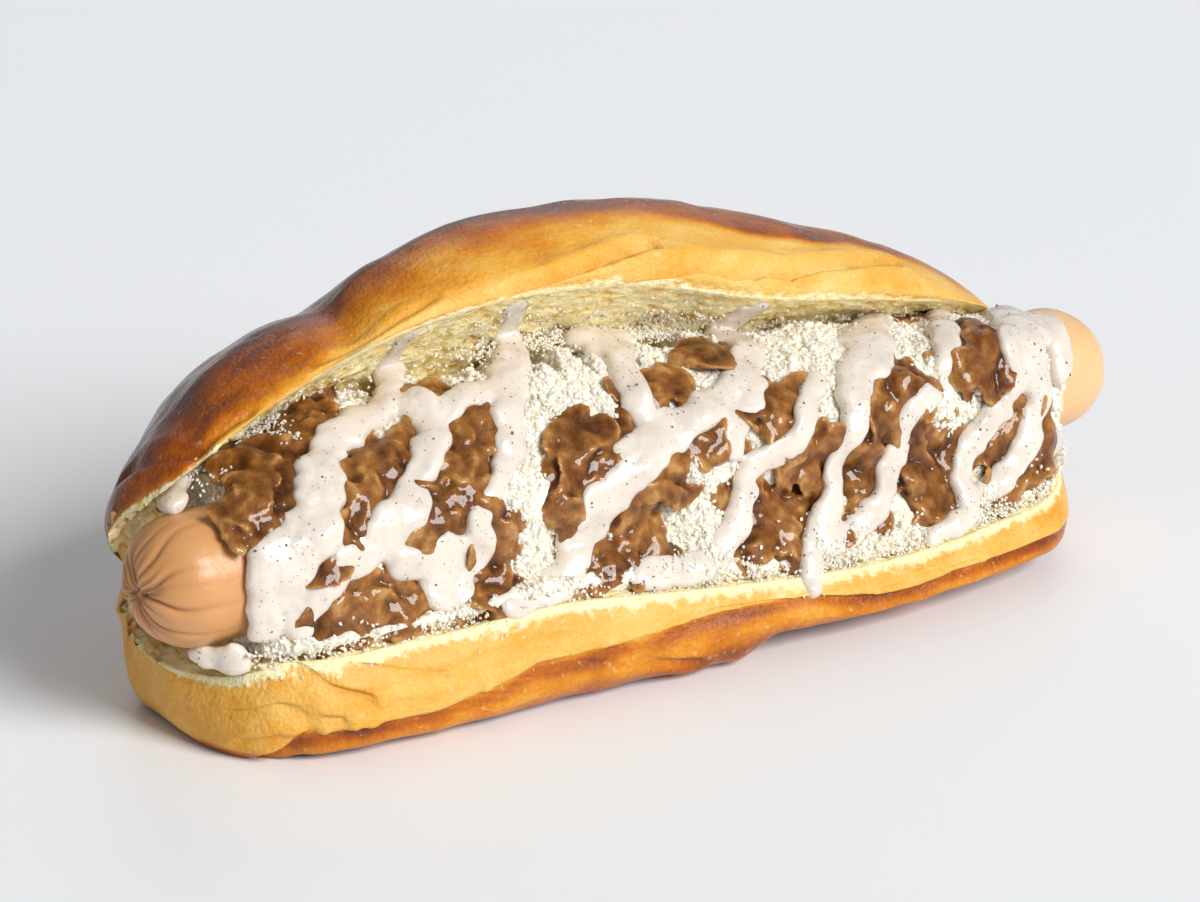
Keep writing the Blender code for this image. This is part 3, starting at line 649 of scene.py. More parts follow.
# The creases run out from the twist, which sits a little off the sausage's own axis
out = np.hypot(skin_y + TWIST_FRONT, skin_z)
about = np.arctan2(skin_z, skin_y + TWIST_FRONT)
left_end = step(-skin_x, SAUSAGE_HALF - 16, SAUSAGE_HALF - 9)
creases = 0
for i in range(TWIST_CREASES):
    where = math.tau * (i + 0.35 * math.sin(5.1 * i)) / TWIST_CREASES
    reach = 8.0 + 2.8 * math.sin(3.7 * i + 1)
    away = (about + 0.10 * np.sin(0.6 * out + i) - where + math.pi) % math.tau - math.pi
    depth = 0.75 + 0.25 * math.sin(2.3 * i)
    fade = step(-out, -reach - 3, -reach + 4)
    creases = creases - depth * np.exp(-np.abs(away * out / (0.22 + 0.04 * out)) ** 1.5) * fade
creases = creases * step(out, 0.2, 1.6) * left_end - 1.0 * bump(out, 0, 1.4) * left_end
skin = np.stack([skin_x, skin_y, skin_z], -1)
swell = 0.12 * lumps(skin, 9.0, 11) + 0.04 * lumps(skin, 2.5, 12) - 0.12
knob = 0.4 * bump(skin_x, 101.5, 1.2) * bump(skin_z, 1.5, 1.6) * bump(skin_y, -2.0, 2.0)
lift = creases + swell * step(ring_radius[:, None], 1.0, 6.0) + knob
slope = np.gradient(ring_radius, ring_x)[:, None]
lean_x = -slope / np.sqrt(1 + slope**2)
lean_out = 1 / np.sqrt(1 + slope**2)
pulled = SAUSAGE_SHORT * step(-skin_x, 70, SAUSAGE_HALF)
points = np.stack([skin_x + lift * lean_x + pulled,
                   SAUSAGE_Y + skin_y + lift * lean_out * np.cos(angle),
                   SAUSAGE_Z + skin_z + lift * lean_out * np.sin(angle)], -1).reshape(-1, 3)
# Painted shade, darkest in the deepest creases of the twist
crease_shade_mask = np.append(np.clip(-creases, 0, 1).ravel(), (1, 0))

casing, tree, shader = new_finish("sausage_skin")
place = tree.nodes.new("ShaderNodeTexCoord").outputs["Object"]
across = add_node(tree, "ShaderNodeSeparateXYZ", {0: place}).outputs["X"]
flush_and_painted_light = maths(tree, "MULTIPLY", patches(tree, 0.014, 3.0), 0.5)
# Along the sausage the skin is painted darker at the left end and lighter at the right end, painted shade
# and light for the key light from the right; the patches are the skin's own blotches
flush_and_painted_light = maths(tree, "ADD", flush_and_painted_light, mapped(tree, across, -0.10, 0.10, 0.05, 0.6))
skin_colour = colours(tree, flush_and_painted_light, (
    (0.2, (0.60, 0.275, 0.095)), (0.5, (0.70, 0.37, 0.150)), (0.8, (0.80, 0.50, 0.245))))
# The creases of the twist are painted darker, painted shade in the folds
painted_crease_shade = maths(tree, "MULTIPLY", mask_of(tree, "fold"), 0.55)
fill(tree, shader, {
    "Base Color": blend_colours(tree, painted_crease_shade, skin_colour, (0.36, 0.15, 0.07, 1.0)),
    "Roughness": varied(tree, 0.003, 2.0, 0.30, 0.42),
    "Coat Weight": 0.15,
    "Coat Roughness": 0.2,
    "Subsurface Weight": 0.2,
    "Subsurface Radius": (1.0, 0.45, 0.2),
    "Subsurface Scale": 0.0025,
    "Normal": raised(tree, patches(tree, 0.0006, 2.0), 0.00006)})
sausage = new_piece("frankfurter", with_poles(points, SAUSAGE_SIDES),
                    closed_tube(len(ring_x), SAUSAGE_SIDES), casing, (("fold", crease_shade_mask),))
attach(sausage, "root")
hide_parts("sausage")

# Cheese: a white cheese crumbled fine, packed round the sausage up to the upper cut face. Its
# core is one lumpy mass, with thousands of loose grains and some larger clumps lying on it.
HEAP_LEFT = -81.5
HEAP_RIGHT = 85.5
HEAP_STATIONS = 300
HEAP_RISE_POINTS = 110
HEAP_BACK_POINTS = 14
HEAP_SINK = 0.4
CUT_GAP = 0.6
END_COVER = 0.3
COVER_PLACES = (-84, -76, -60, -30, 30, 60, 80, 88)
COVER = (1.2, 2.0, 3.0, 3.5, 3.5, 3.5, 3.0, 1.6)
# Bare mounds of cheese: place along the roll and up the front, reach both ways, and height
MOUNDS = (
    (-17, 0.76, 6, 0.12, 1.8), (-31, 0.30, 5, 0.20, 1.8), (4, 0.25, 4, 0.18, 1.6), (26, 0.10, 4, 0.08, 1.0),
    (40, 0.84, 9, 0.12, 2.0), (56, 0.40, 4, 0.14, 1.2), (14, 0.90, 8, 0.08, 1.4), (-58, 0.02, 9, 0.04, 0.8),
    (-10, 0.84, 5, 0.10, 1.2), (76, 0.98, 9, 0.10, 2.0))
# Grains for a square metre, smallest and largest grain, seed, rings of a grain, and unevenness
CHEESE_GRAINS = {
    "cheese_grains": (2200000, (0.0003, 0.0003, 0.0003), (0.0010, 0.0009, 0.0008), 31, 2, 0.00007),
    "cheese_clumps": (420000, (0.0008, 0.0007, 0.0006), (0.0022, 0.0018, 0.0014), 32, 4, 0.00016)}


def front_keys(x):
    """Front of the filling, from the crust under the lower lip up over the upper cut face."""
    crust_key, cut_key = crust_keys(x), cut_keys(x)
    reach = SAUSAGE_RADIUS + along(x, COVER, COVER_PLACES)

    def round_sausage(degrees):
        turned = math.radians(degrees)
        return np.stack([SAUSAGE_Y + reach * math.cos(turned), SAUSAGE_Z + reach * math.sin(turned)], -1)

    foot = crust_key[..., 0, :] + np.array([2.0, 0.4])
    low, middle, high = round_sausage(198), round_sausage(160), round_sausage(122)
    top = cut_key[..., 12, :]
    chord = top - high
    between = 0.5 * (high + top) + 0.10 * np.stack([-chord[..., 1], chord[..., 0]], -1)
    return np.stack([crust_key[..., 2, :], crust_key[..., 1, :], foot, low, middle, high, between, top,
                     cut_key[..., 13, :], cut_key[..., 14, :], cut_key[..., 15, :]], -2)


def on_front(x, up):
    """Points on the front: up is 0 at the lower lip, 1 where the filling meets the upper half."""
    x, up = (np.ravel(a).astype(float) for a in np.broadcast_arrays(x, up))
    keys = front_keys(x)
    slope = np.gradient(keys, axis=1)
    number = np.clip(5 * up + 2, 0, keys.shape[1] - 1)
    i = np.clip(number.astype(int), 0, keys.shape[1] - 2)
    t = (number - i)[:, None]
    row = np.arange(len(x))
    bent = curve_between(t, 1, keys[row, i], keys[row, i + 1], slope[row, i], slope[row, i + 1])
    return np.concatenate([x[:, None], bent], 1)


def unit(vectors):
    """Vectors made one long."""
    return vectors / np.maximum(np.linalg.norm(vectors, axis=-1, keepdims=True), 1e-9)


def front_axes(x, up):
    """Points on the front with their directions along the roll, up the heap and outward."""
    side = unit(on_front(x + 1, up) - on_front(x - 1, up))
    rising = unit(on_front(x, up + 0.012) - on_front(x, up - 0.012))
    return on_front(x, up), side, rising, unit(np.cross(side, rising))


heap_shape = (HEAP_STATIONS, HEAP_RISE_POINTS, 3)
heap_x = np.linspace(HEAP_LEFT, HEAP_RIGHT, HEAP_STATIONS)
heap_up = np.linspace(0, 1, HEAP_RISE_POINTS)
grid_x, grid_up = np.meshgrid(heap_x, heap_up, indexing="ij")
# The cheese stops short of the upper cut face in the middle, in a ragged line
shy = 0.13 * step(grid_x, -54, -42) * step(-grid_x, -26, -14) + 0.03
grid_up = grid_up * (1 - shy * (1 + 0.6 * np.sin(0.9 * grid_x) * np.sin(0.23 * grid_x + 1)))
skin, _, _, outward = (part.reshape(heap_shape) for part in front_axes(grid_x, grid_up))
mound = sum(high * bump(grid_x, x, wide) * bump(grid_up, up, tall) for x, up, wide, tall, high in MOUNDS)
rough = 0.7 * lumps(skin, 5.0, 21) + 0.5 * lumps(skin, 2.2, 22) + 0.45 * lumps(skin, 1.1, 23)
rough = rough + (1.1 + 1.4 * step(-grid_x, 0, 20)) * bump(grid_up, 0.045, 0.05)
share_up = np.broadcast_to(heap_up, grid_up.shape)
edges = step(share_up, 0, 0.03) * step(-share_up, -1, -0.97)
edges = edges * step(grid_x, HEAP_LEFT, HEAP_LEFT + 3) * step(-grid_x, -HEAP_RIGHT, 3 - HEAP_RIGHT)
front_face = skin + outward * ((mound + rough) * edges - HEAP_SINK)[..., None]
# The back follows the cut face and stays a little clear of it
back = smooth(cut_keys(heap_x), np.linspace(11.2, 3.6, HEAP_BACK_POINTS))
corner = np.stack([along(heap_x, CORNER_Y), along(heap_x, LIP_LOW_Z) + CORNER_RISE], -1)[:, None]
back = back + CUT_GAP * unit(np.array([SAUSAGE_Y, SAUSAGE_Z]) - corner)
back = np.concatenate([np.broadcast_to(heap_x[:, None, None], (*back.shape[:2], 1)), back], -1)
ring = np.concatenate([front_face, back], axis=1)
sides = ring.shape[1]
faces = tube_faces(HEAP_STATIONS, sides)
faces.append(tuple(range(sides)))
faces.append(tuple((HEAP_STATIONS - 1) * sides + i for i in range(sides)))

curd, tree, shader = new_finish("crumbled_cheese")
fill(tree, shader, {
    "Base Color": colours(tree, patches(tree, 0.0016, 4.0), (
        (0.3, (0.94, 0.84, 0.63)), (0.5, (0.96, 0.885, 0.73)), (0.7, (0.97, 0.93, 0.82)))),
    "Roughness": 0.9,
    "Specular IOR Level": 0.1,
    "Subsurface Weight": 0.5,
    "Subsurface Radius": (1.0, 0.92, 0.78),
    "Subsurface Scale": 0.0014,
    "Normal": raised(tree, patches(tree, 0.0006, 3.0), 0.0002)})
cheese = new_piece("cheese_mass", ring.reshape(-1, 3), faces, curd)
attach(cheese, "root")
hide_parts("cheese_heap")


def make_grain_tree():
    """Geometry Nodes that strew small irregular grains over a mesh and give them a material."""
    group, told = new_group("strewn_grains", "GeometryNodeTree", {
        "Geometry": "Geometry", "Per Area": "Float", "Smallest": "Vector", "Largest": "Vector",
        "Seed": "Int", "Rings": "Int", "Unevenness": "Vector", "Finish": "Material"},
        {"Geometry": "Geometry"})
    cover = add_node(group, "GeometryNodeInputNamedAttribute", {"Name": "cover"}, data_type="FLOAT")
    density = maths(group, "MULTIPLY", told["Per Area"], cover.outputs["Attribute"])
    strew = add_node(group, "GeometryNodeDistributePointsOnFaces", {
        "Mesh": told["Geometry"], "Density": density, "Seed": told["Seed"]})
    grain = add_node(group, "GeometryNodeMeshUVSphere", {
        "Radius": 0.5, "Segments": 5, "Rings": told["Rings"]})
    size = add_node(group, "FunctionNodeRandomValue", {
        "Min": told["Smallest"], "Max": told["Largest"], "Seed": told["Seed"]}, data_type="FLOAT_VECTOR")
    turned = add_node(group, "FunctionNodeRandomValue", {"Max": (math.tau,) * 3}, data_type="FLOAT_VECTOR")
    placed = add_node(group, "GeometryNodeInstanceOnPoints", {
        "Points": strew.outputs["Points"], "Instance": grain.outputs["Mesh"],
        "Rotation": turned.outputs["Value"], "Scale": size.outputs["Value"]})
    real = add_node(group, "GeometryNodeRealizeInstances", {"Geometry": placed.outputs["Instances"]})
    opposite = add_node(group, "ShaderNodeVectorMath", {0: told["Unevenness"], "Scale": -1.0},
                        operation="SCALE")
    jitter = add_node(group, "FunctionNodeRandomValue", {
        "Min": opposite.outputs["Vector"], "Max": told["Unevenness"]}, data_type="FLOAT_VECTOR")
    moved = add_node(group, "GeometryNodeSetPosition", {
        "Geometry": real.outputs["Geometry"], "Offset": jitter.outputs["Value"]})
    paint = add_node(group, "GeometryNodeSetMaterial", {
        "Geometry": moved.outputs["Geometry"], "Material": told["Finish"]})
    add_node(group, "NodeGroupOutput", {"Geometry": paint.outputs["Geometry"]})
    return group


grain_tree = make_grain_tree()


def worked_out(item):
    """Plain mesh of an object, with what its modifiers do."""
    bpy.context.view_layer.update()
    return bpy.data.meshes.new_from_object(item.evaluated_get(bpy.context.evaluated_depsgraph_get()))


def read(items, name, wide=3, kind=np.float32):
    """One property of all points or edges of a mesh, in rows that wide."""
    values = np.zeros(len(items) * wide, kind)
    items.foreach_get(name, values)
    return values.reshape(-1, wide)


def strewn(name, points, faces, cover, finish, per_area, smallest, largest, seed, rings=2, uneven=0.00007):
    """Grains strewn over a guide surface, thickest where cover is 1, as one plain mesh."""
    mesh = bpy.data.meshes.new(name + "_guide")
    mesh.from_pydata(in_frame(points), [], faces)
    add_mask(mesh, "cover", cover)
    guide = add_object(name + "_guide", mesh)
    modifier = guide.modifiers.new("grains", "NODES")
    modifier.node_group = grain_tree
    values = {"Per Area": per_area, "Smallest": smallest, "Largest": largest, "Seed": seed, "Rings": rings,
              "Unevenness": (uneven, uneven, uneven), "Finish": finish}
    for item in grain_tree.interface.items_tree:
        if item.in_out == "INPUT" and item.name in values:
            modifier[item.identifier] = values[item.name]
    grains = worked_out(guide)
    bpy.data.objects.remove(guide)
    places = np.clip(read(grains.vertices, "co"), BOX_LOW, BOX_HIGH)
    grains.vertices.foreach_set("co", places.ravel())
    grains.name = name
    if rings > 2:
        grains.shade_smooth()
    return add_object(name, grains)


# Onion clusters: place along the roll, place up the front of the heap, and reach both ways
CLUSTERS = (
    (-74, 0.75, 8, 0.16), (-58, 1.04, 4, 0.07), (-80, 0.66, 5, 0.10), (-66, 0.86, 6, 0.10),
    (-54, 0.66, 4, 0.06), (-61, 0.54, 5, 0.09), (-70, 0.45, 4, 0.07), (-36, 0.71, 5, 0.09),
    (-43, 0.58, 6, 0.11), (-48, 0.43, 6, 0.09), (-41, 0.80, 2, 0.04), (-66, 0.15, 7, 0.14),
    (-56, 0.13, 5, 0.10), (-41, 0.09, 4, 0.13), (-38, 0.27, 3, 0.07), (-18, 0.55, 5, 0.08),
    (-26, 0.39, 4, 0.08), (-19, 0.08, 5, 0.09), (-12, 0.23, 4, 0.08), (-13, 0.58, 3, 0.06),
    (16, 0.76, 5, 0.04), (0, 0.66, 5, 0.04), (6, 0.50, 5, 0.08), (22, 0.49, 5, 0.10),
    (-6, 0.39, 5, 0.09), (-11, 0.19, 6, 0.12), (16, 0.15, 7, 0.12), (28, 0.22, 4, 0.13),
    (40, 0.33, 5, 0.10), (38, 0.18, 4, 0.08), (49, 0.47, 4, 0.09), (64, 0.96, 4, 0.06),
    (51, 0.15, 7, 0.12), (68, 0.53, 6, 0.08), (68, 0.20, 5, 0.06), (77, 0.16, 6, 0.10),
    (71, 0.07, 6, 0.04))
CLUSTER_RISE = 3.0
CLUSTER_BLUR = 1.25


def onion_rise(x, up):
    """Height that the onion clusters give the heap at a place on its front."""
    rise = 0.0
    for place, height, reach_x, reach_up in CLUSTERS:
        share = bump(x, place, CLUSTER_BLUR * reach_x) * bump(up, height, CLUSTER_BLUR * reach_up)
        rise = np.maximum(rise, CLUSTER_RISE * share)
    return rise


bare = 1.0 - step(onion_rise(grid_x, grid_up), 0.6, 1.8)
# Only the two ends of the back are strewn, so that the ends of the heap are
behind = np.zeros(back.shape[:2])
behind[(0, -1), :] = END_COVER
heap_cover = np.concatenate([bare, behind], axis=1)
for name, grains in CHEESE_GRAINS.items():
    heap_grains = strewn(name, ring.reshape(-1, 3), faces, heap_cover, curd, *grains)
    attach(heap_grains, "root")
    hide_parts("cheese_heap")

# Onions: sliced and cooked down until they are soft, brown and see-through at the edges. They
# lie in clusters of broad limp pieces, several layers deep and pressed together.
ONION_SEED = 5
PIECE_LENGTH = (6.0, 13.0)
PIECE_WIDTH = (3.5, 7.5)
PIECE_THICKNESS = (0.8, 1.5)
PIECE_RINGS = 24
PIECE_SIDES = 18
AREA_PER_PIECE = 12.0
ONION_VOXEL = 0.00048
CLUSTER_SPREAD = 1.45
# Height of the mound under each cluster, and where pieces stop at the right and at the foot
MOUND_HEIGHT = 3.4
ONION_RIGHT = 83.0
ONION_FOOT = 0.08
ONION_SEEDS = 997
TONE_BLUR = 14

draw = random.Random(ONION_SEED)
share = np.linspace(-1, 1, PIECE_RINGS)
around = np.linspace(0, math.tau, PIECE_SIDES, endpoint=False)
end_taper = np.sqrt(np.maximum(1 - np.abs(share) ** 3.0, 0.01))[:, None]
piece_faces = closed_tube(PIECE_RINGS, PIECE_SIDES)
onion_parts = []


def joined(parts):
    """Points and faces of many separate shapes, as one list of each."""
    faces = []
    total = 0
    for part_points, part_faces in parts:
        faces.extend([total + corner for corner in face] for face in part_faces)
        total += len(part_points)
    return np.concatenate([part_points for part_points, _ in parts]), faces


def onion_piece(x, up, level, size, turned, bend, seed):
    """Points of one limp piece of onion at a place on the heap, at a height over its front."""
    origin, side, rising, outward = (a[0] for a in front_axes(np.array([x]), np.array([up])))
    length, width, thick = size
    curl, twist, tilt, cup, sway = bend
    ahead = math.cos(turned) * side + math.sin(turned) * rising
    across = np.cross(outward, ahead)
    flat = 0.5 * width * end_taper * np.cos(around)
    rise = 0.5 * thick * end_taper ** 0.5 * np.sign(np.sin(around)) * np.abs(np.sin(around)) ** 0.8
    rise = rise - cup * flat**2 / width
    roll = (tilt + twist * share)[:, None]
    run = 0.5 * length * share[:, None] + 0 * flat
    drop = -2.2 * curl * run**2 / length
    sway = 0.09 * np.sin(0.5 * run + sway) * length
    flat, rise = flat * np.cos(roll) - rise * np.sin(roll), flat * np.sin(roll) + rise * np.cos(roll)
    flat = flat + sway
    rise = rise + drop
    spot = origin + outward * level
    body = spot + run[..., None] * ahead + flat[..., None] * across + rise[..., None] * outward
    core = spot + run[..., None] * ahead + (sway + 0 * flat)[..., None] * across + drop[..., None] * outward
    away = unit(body - core)
    wave = 0.8 * lumps(spot + run[..., None] * ahead + 0.5 * flat[..., None] * across, 3.6, seed) * end_taper
    dents = 0.25 * lumps(body, 2.6, seed + 1)
    veins = 0.13 * np.sin(math.tau * flat / 1.7 + 1.2 * lumps(body, 4.0, seed + 3))
    body = body + away * (dents + veins)[..., None] + wave[..., None] * outward
    return with_poles(body.reshape(-1, 3), PIECE_SIDES)


def add_onion(*measures):
    """Add one more piece of onion, whose dents differ from those of the others."""
    seed = len(onion_parts) * (PIECE_RINGS * PIECE_SIDES + 2) % ONION_SEEDS
    onion_parts.append((onion_piece(*measures, seed), piece_faces))


for place, height, reach_x, reach_up in CLUSTERS:
    span = on_front(place, height + reach_up) - on_front(place, height - reach_up)
    tall = 0.5 * float(np.linalg.norm(span))
    # Each cluster lies on one low mound, which points the way the cluster does
    mound_size = (2.1 * max(reach_x, tall), 1.9 * min(reach_x, tall), MOUND_HEIGHT)
    add_onion(place, height, 0.3, mound_size, 0.0 if reach_x > tall else 1.45, (0.05, 0.0, 0.0, 0.1, 0.0))
    count = max(5, round(math.pi * reach_x * tall * CLUSTER_SPREAD / AREA_PER_PIECE) + 2)
    for _ in range(count):
        spread = CLUSTER_SPREAD * math.sqrt(draw.random())
        heading = draw.uniform(0, math.tau)
        x = min(ONION_RIGHT, place + reach_x * spread * math.cos(heading))
        up = max(ONION_FOOT, height + reach_up * spread * math.sin(heading))
        layer = draw.random()
        level = 0.1 + layer * float(onion_rise(x, up)) * 0.7
        size = (draw.uniform(*PIECE_LENGTH), draw.uniform(*PIECE_WIDTH), draw.uniform(*PIECE_THICKNESS))
        bend = (draw.uniform(-0.05, 0.25), draw.uniform(-0.6, 0.6), draw.uniform(-0.4, 0.4),
                draw.uniform(-0.1, 0.3), draw.uniform(0, math.tau))
        add_onion(x, up, level, size, draw.gauss(1.2, 0.9), bend)

onion, tree, shader = new_finish("caramelised_onion")
# The tone mask holds painted shade in the hollows and painted light on the raised edges
shade = maths(tree, "ADD", mask_of(tree, "tone"), varied(tree, 0.0016, 4.0, -0.16, 0.16), True)
wet = raised(tree, patches(tree, 0.0010, 3.0), 0.00032)
fill(tree, shader, {
    "Base Color": colours(tree, shade, (
        (0.0, (0.04, 0.010, 0.001)), (0.3, (0.10, 0.030, 0.004)), (0.55, (0.19, 0.067, 0.011)),
        (0.8, (0.31, 0.125, 0.026)), (1.0, (0.47, 0.25, 0.08)))),
    "Roughness": 0.34,
    "Specular IOR Level": 0.1,
    "Coat Weight": 0.55,
    "Coat Roughness": 0.04,
    "Subsurface Weight": 0.5,
    "Subsurface Radius": (1.0, 0.42, 0.10),
    "Subsurface Scale": 0.002,
    "Normal": raised(tree, patches(tree, 0.0004, 2.0), 0.00012, wet)})


def melt(piece, voxel, passes):
    """Make one soft skin of crossing shapes, and give its points in millimetres and its normals."""
    skin = piece.modifiers.new("skin", "REMESH")
    skin.mode = "VOXEL"
    skin.voxel_size = voxel
    relax = piece.modifiers.new("relax", "SMOOTH")
    relax.factor = 0.5
    relax.iterations = passes
    mesh = worked_out(piece)
    piece.modifiers.clear()
    piece.data = mesh
    mesh.name = piece.name
    mesh.shade_smooth()
    return read(mesh.vertices, "co") / METRES + BASE_MIDDLE, read(mesh.vertices, "normal")


def move_points(piece, points):
    """Move the points of a piece to these places in millimetres."""
    piece.data.vertices.foreach_set("co", in_frame(points).astype(np.float32).ravel())


onions = new_piece("onion_strips", *joined(onion_parts), onion)
points, normals = melt(onions, ONION_VOXEL, 3)
crinkle = 0.10 * lumps(points, 1.3, 41) + 0.08 * (1 - 2 * np.abs(lumps(points, 2.4, 42)))
points = points + normals * crinkle[:, None]
move_points(onions, points)
# Painted shade and light: hollows are painted dark and thin raised edges golden, each point held against its
# blurred self; the lumps give the onion's own patchy tone
first, second = read(onions.data.edges, "vertices", 2, np.int32).T
ends = np.concatenate([first, second])
others = np.concatenate([second, first])
number = np.bincount(ends, minlength=len(points))[:, None]
blurred = points
for _ in range(TONE_BLUR):
    sums = [np.bincount(ends, blurred[others, axis], len(points)) for axis in range(3)]
    blurred = np.stack(sums, -1) / number
hollow_shade = np.sum((blurred - points) * normals, axis=1)
tone = 0.54 - 1.0 * hollow_shade + 0.28 * lumps(points, 4.5, 43)
add_mask(onions.data, "tone", np.clip(tone, 0, 1))
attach(onions, "root")
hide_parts("onion_heap")

# Sauce: a thick pale sauce with ground pepper, squeezed over the onions in a zigzag. Each line
# has its width and its way points, and the lines melt into one another where they meet.
SAUCE_THICKNESS = 1.7
SAUCE_SINK = 1.6
SAUCE_TOP_POINTS = 13
SAUCE_VOXEL = 0.00045
SAUCE_STEP = 0.8
# Way points of each line: place along the roll, place up the front of the heap, and width
SAUCE_LINES = (
    ((-40, 1.55, 3), (-42, 1.40, 4.5), (-42, 1.0, 7), (-48, 0.84, 8), (-56, 0.80, 8), (-64, 0.73, 10),
     (-68, 0.61, 12), (-72, 0.50, 11), (-78, 0.42, 9)),
    ((-44, 0.86, 8), (-44, 0.71, 7), (-48, 0.63, 8), (-52, 0.55, 8), (-57, 0.45, 8), (-62, 0.38, 8),
     (-66, 0.35, 7.5), (-71, 0.30, 7), (-75, 0.20, 7), (-78, 0.08, 6)),
    ((-75, 0.47, 9), (-80, 0.46, 9), (-82, 0.38, 9), (-82, 0.21, 9), (-81, 0.08, 8)),
    ((-73, 0.46, 11), (-77, 0.41, 12), (-78, 0.31, 12), (-78, 0.20, 10)),
    ((-92, 0.02, 4.5), (-88.5, 0.0, 5.5), (-84, 0.0, 4.5)),
    ((-91, 0.78, 5), (-88, 0.90, 6), (-84, 1.0, 5)),
    ((-20, 1.52, 4), (-20, 1.36, 5.5), (-18, 1.0, 6.5), (-22, 0.85, 8), (-27, 0.76, 9), (-29, 0.68, 8.5),
     (-31, 0.61, 8), (-35, 0.54, 7), (-38, 0.48, 6), (-42, 0.40, 6), (-44, 0.34, 6)),
    ((-28, 0.78, 6), (-34, 0.78, 6), (-39, 0.75, 5.5), (-43, 0.71, 5)),
    ((-60, 0.34, 8), (-55, 0.29, 11), (-49, 0.27, 13), (-44, 0.31, 11), (-41, 0.39, 8)),
    ((-52, 0.27, 12), (-49, 0.15, 11), (-48, 0.03, 9)),
    ((23, 0.70, 8), (16, 0.64, 8), (10, 0.59, 8), (0, 0.54, 9), (-10, 0.46, 10), (-16, 0.37, 11),
     (-20, 0.28, 11), (-24, 0.15, 10), (-29, 0.06, 8), (-36, 0.01, 6), (-41, 0.0, 4)),
    ((-4, 1.02, 7), (-2, 0.88, 11), (-3, 0.77, 9), (-4, 0.66, 7), (-4, 0.57, 8)),
    ((-8, 0.92, 8), (0, 0.92, 10), (6, 0.90, 6)),
    ((29, 1.52, 4), (30, 1.36, 6), (27, 1.0, 7), (24, 0.80, 9), (22, 0.68, 10)),
    ((22, 0.66, 8), (16, 0.55, 5.5), (11, 0.46, 5.5), (10, 0.37, 5)),
    ((34, 0.62, 6), (30, 0.55, 6), (26, 0.46, 6), (22, 0.37, 6.5), (14, 0.34, 7), (12, 0.24, 6.5),
     (8, 0.13, 7), (2, 0.07, 8), (-8, 0.04, 8), (-15, 0.02, 6)),
    ((62, 1.06, 7), (58, 0.88, 9), (50, 0.74, 13), (43, 0.60, 12), (38, 0.48, 9), (35, 0.38, 7),
     (32, 0.28, 6), (31, 0.18, 6), (27, 0.11, 6.5), (22, 0.04, 6.5), (19, -0.16, 5)),
    ((56, 0.47, 5), (54, 0.43, 5.5), (48, 0.38, 6), (46, 0.27, 6), (41, 0.15, 6), (36, 0.09, 7),
     (30, 0.06, 6), (23, 0.06, 7)),
    ((72, 0.34, 7), (66, 0.27, 7), (61, 0.20, 6.5), (58, 0.12, 7), (58, 0.05, 7), (53, 0.01, 6),
     (46, 0.0, 5)),
    ((78, 0.32, 8), (74, 0.18, 7), (68, 0.10, 6.5), (60, 0.06, 6)),
    ((86, 0.92, 8), (81, 0.66, 11), (78, 0.50, 12), (78, 0.36, 10), (78, 0.24, 6)),
    ((84, 1.0, 6), (76, 0.92, 8), (70, 0.80, 7), (62, 0.62, 6), (57, 0.48, 5)),
    ((80, 0.60, 8), (73, 0.53, 7), (74, 0.43, 6), (71, 0.34, 5)),
    ((88, 0.82, 6), (87, 0.64, 7), (86, 0.48, 7), (84, 0.34, 6)),
    ((64, 0.42, 3.5), (66, 0.41, 3.5)))

sauce_parts = []
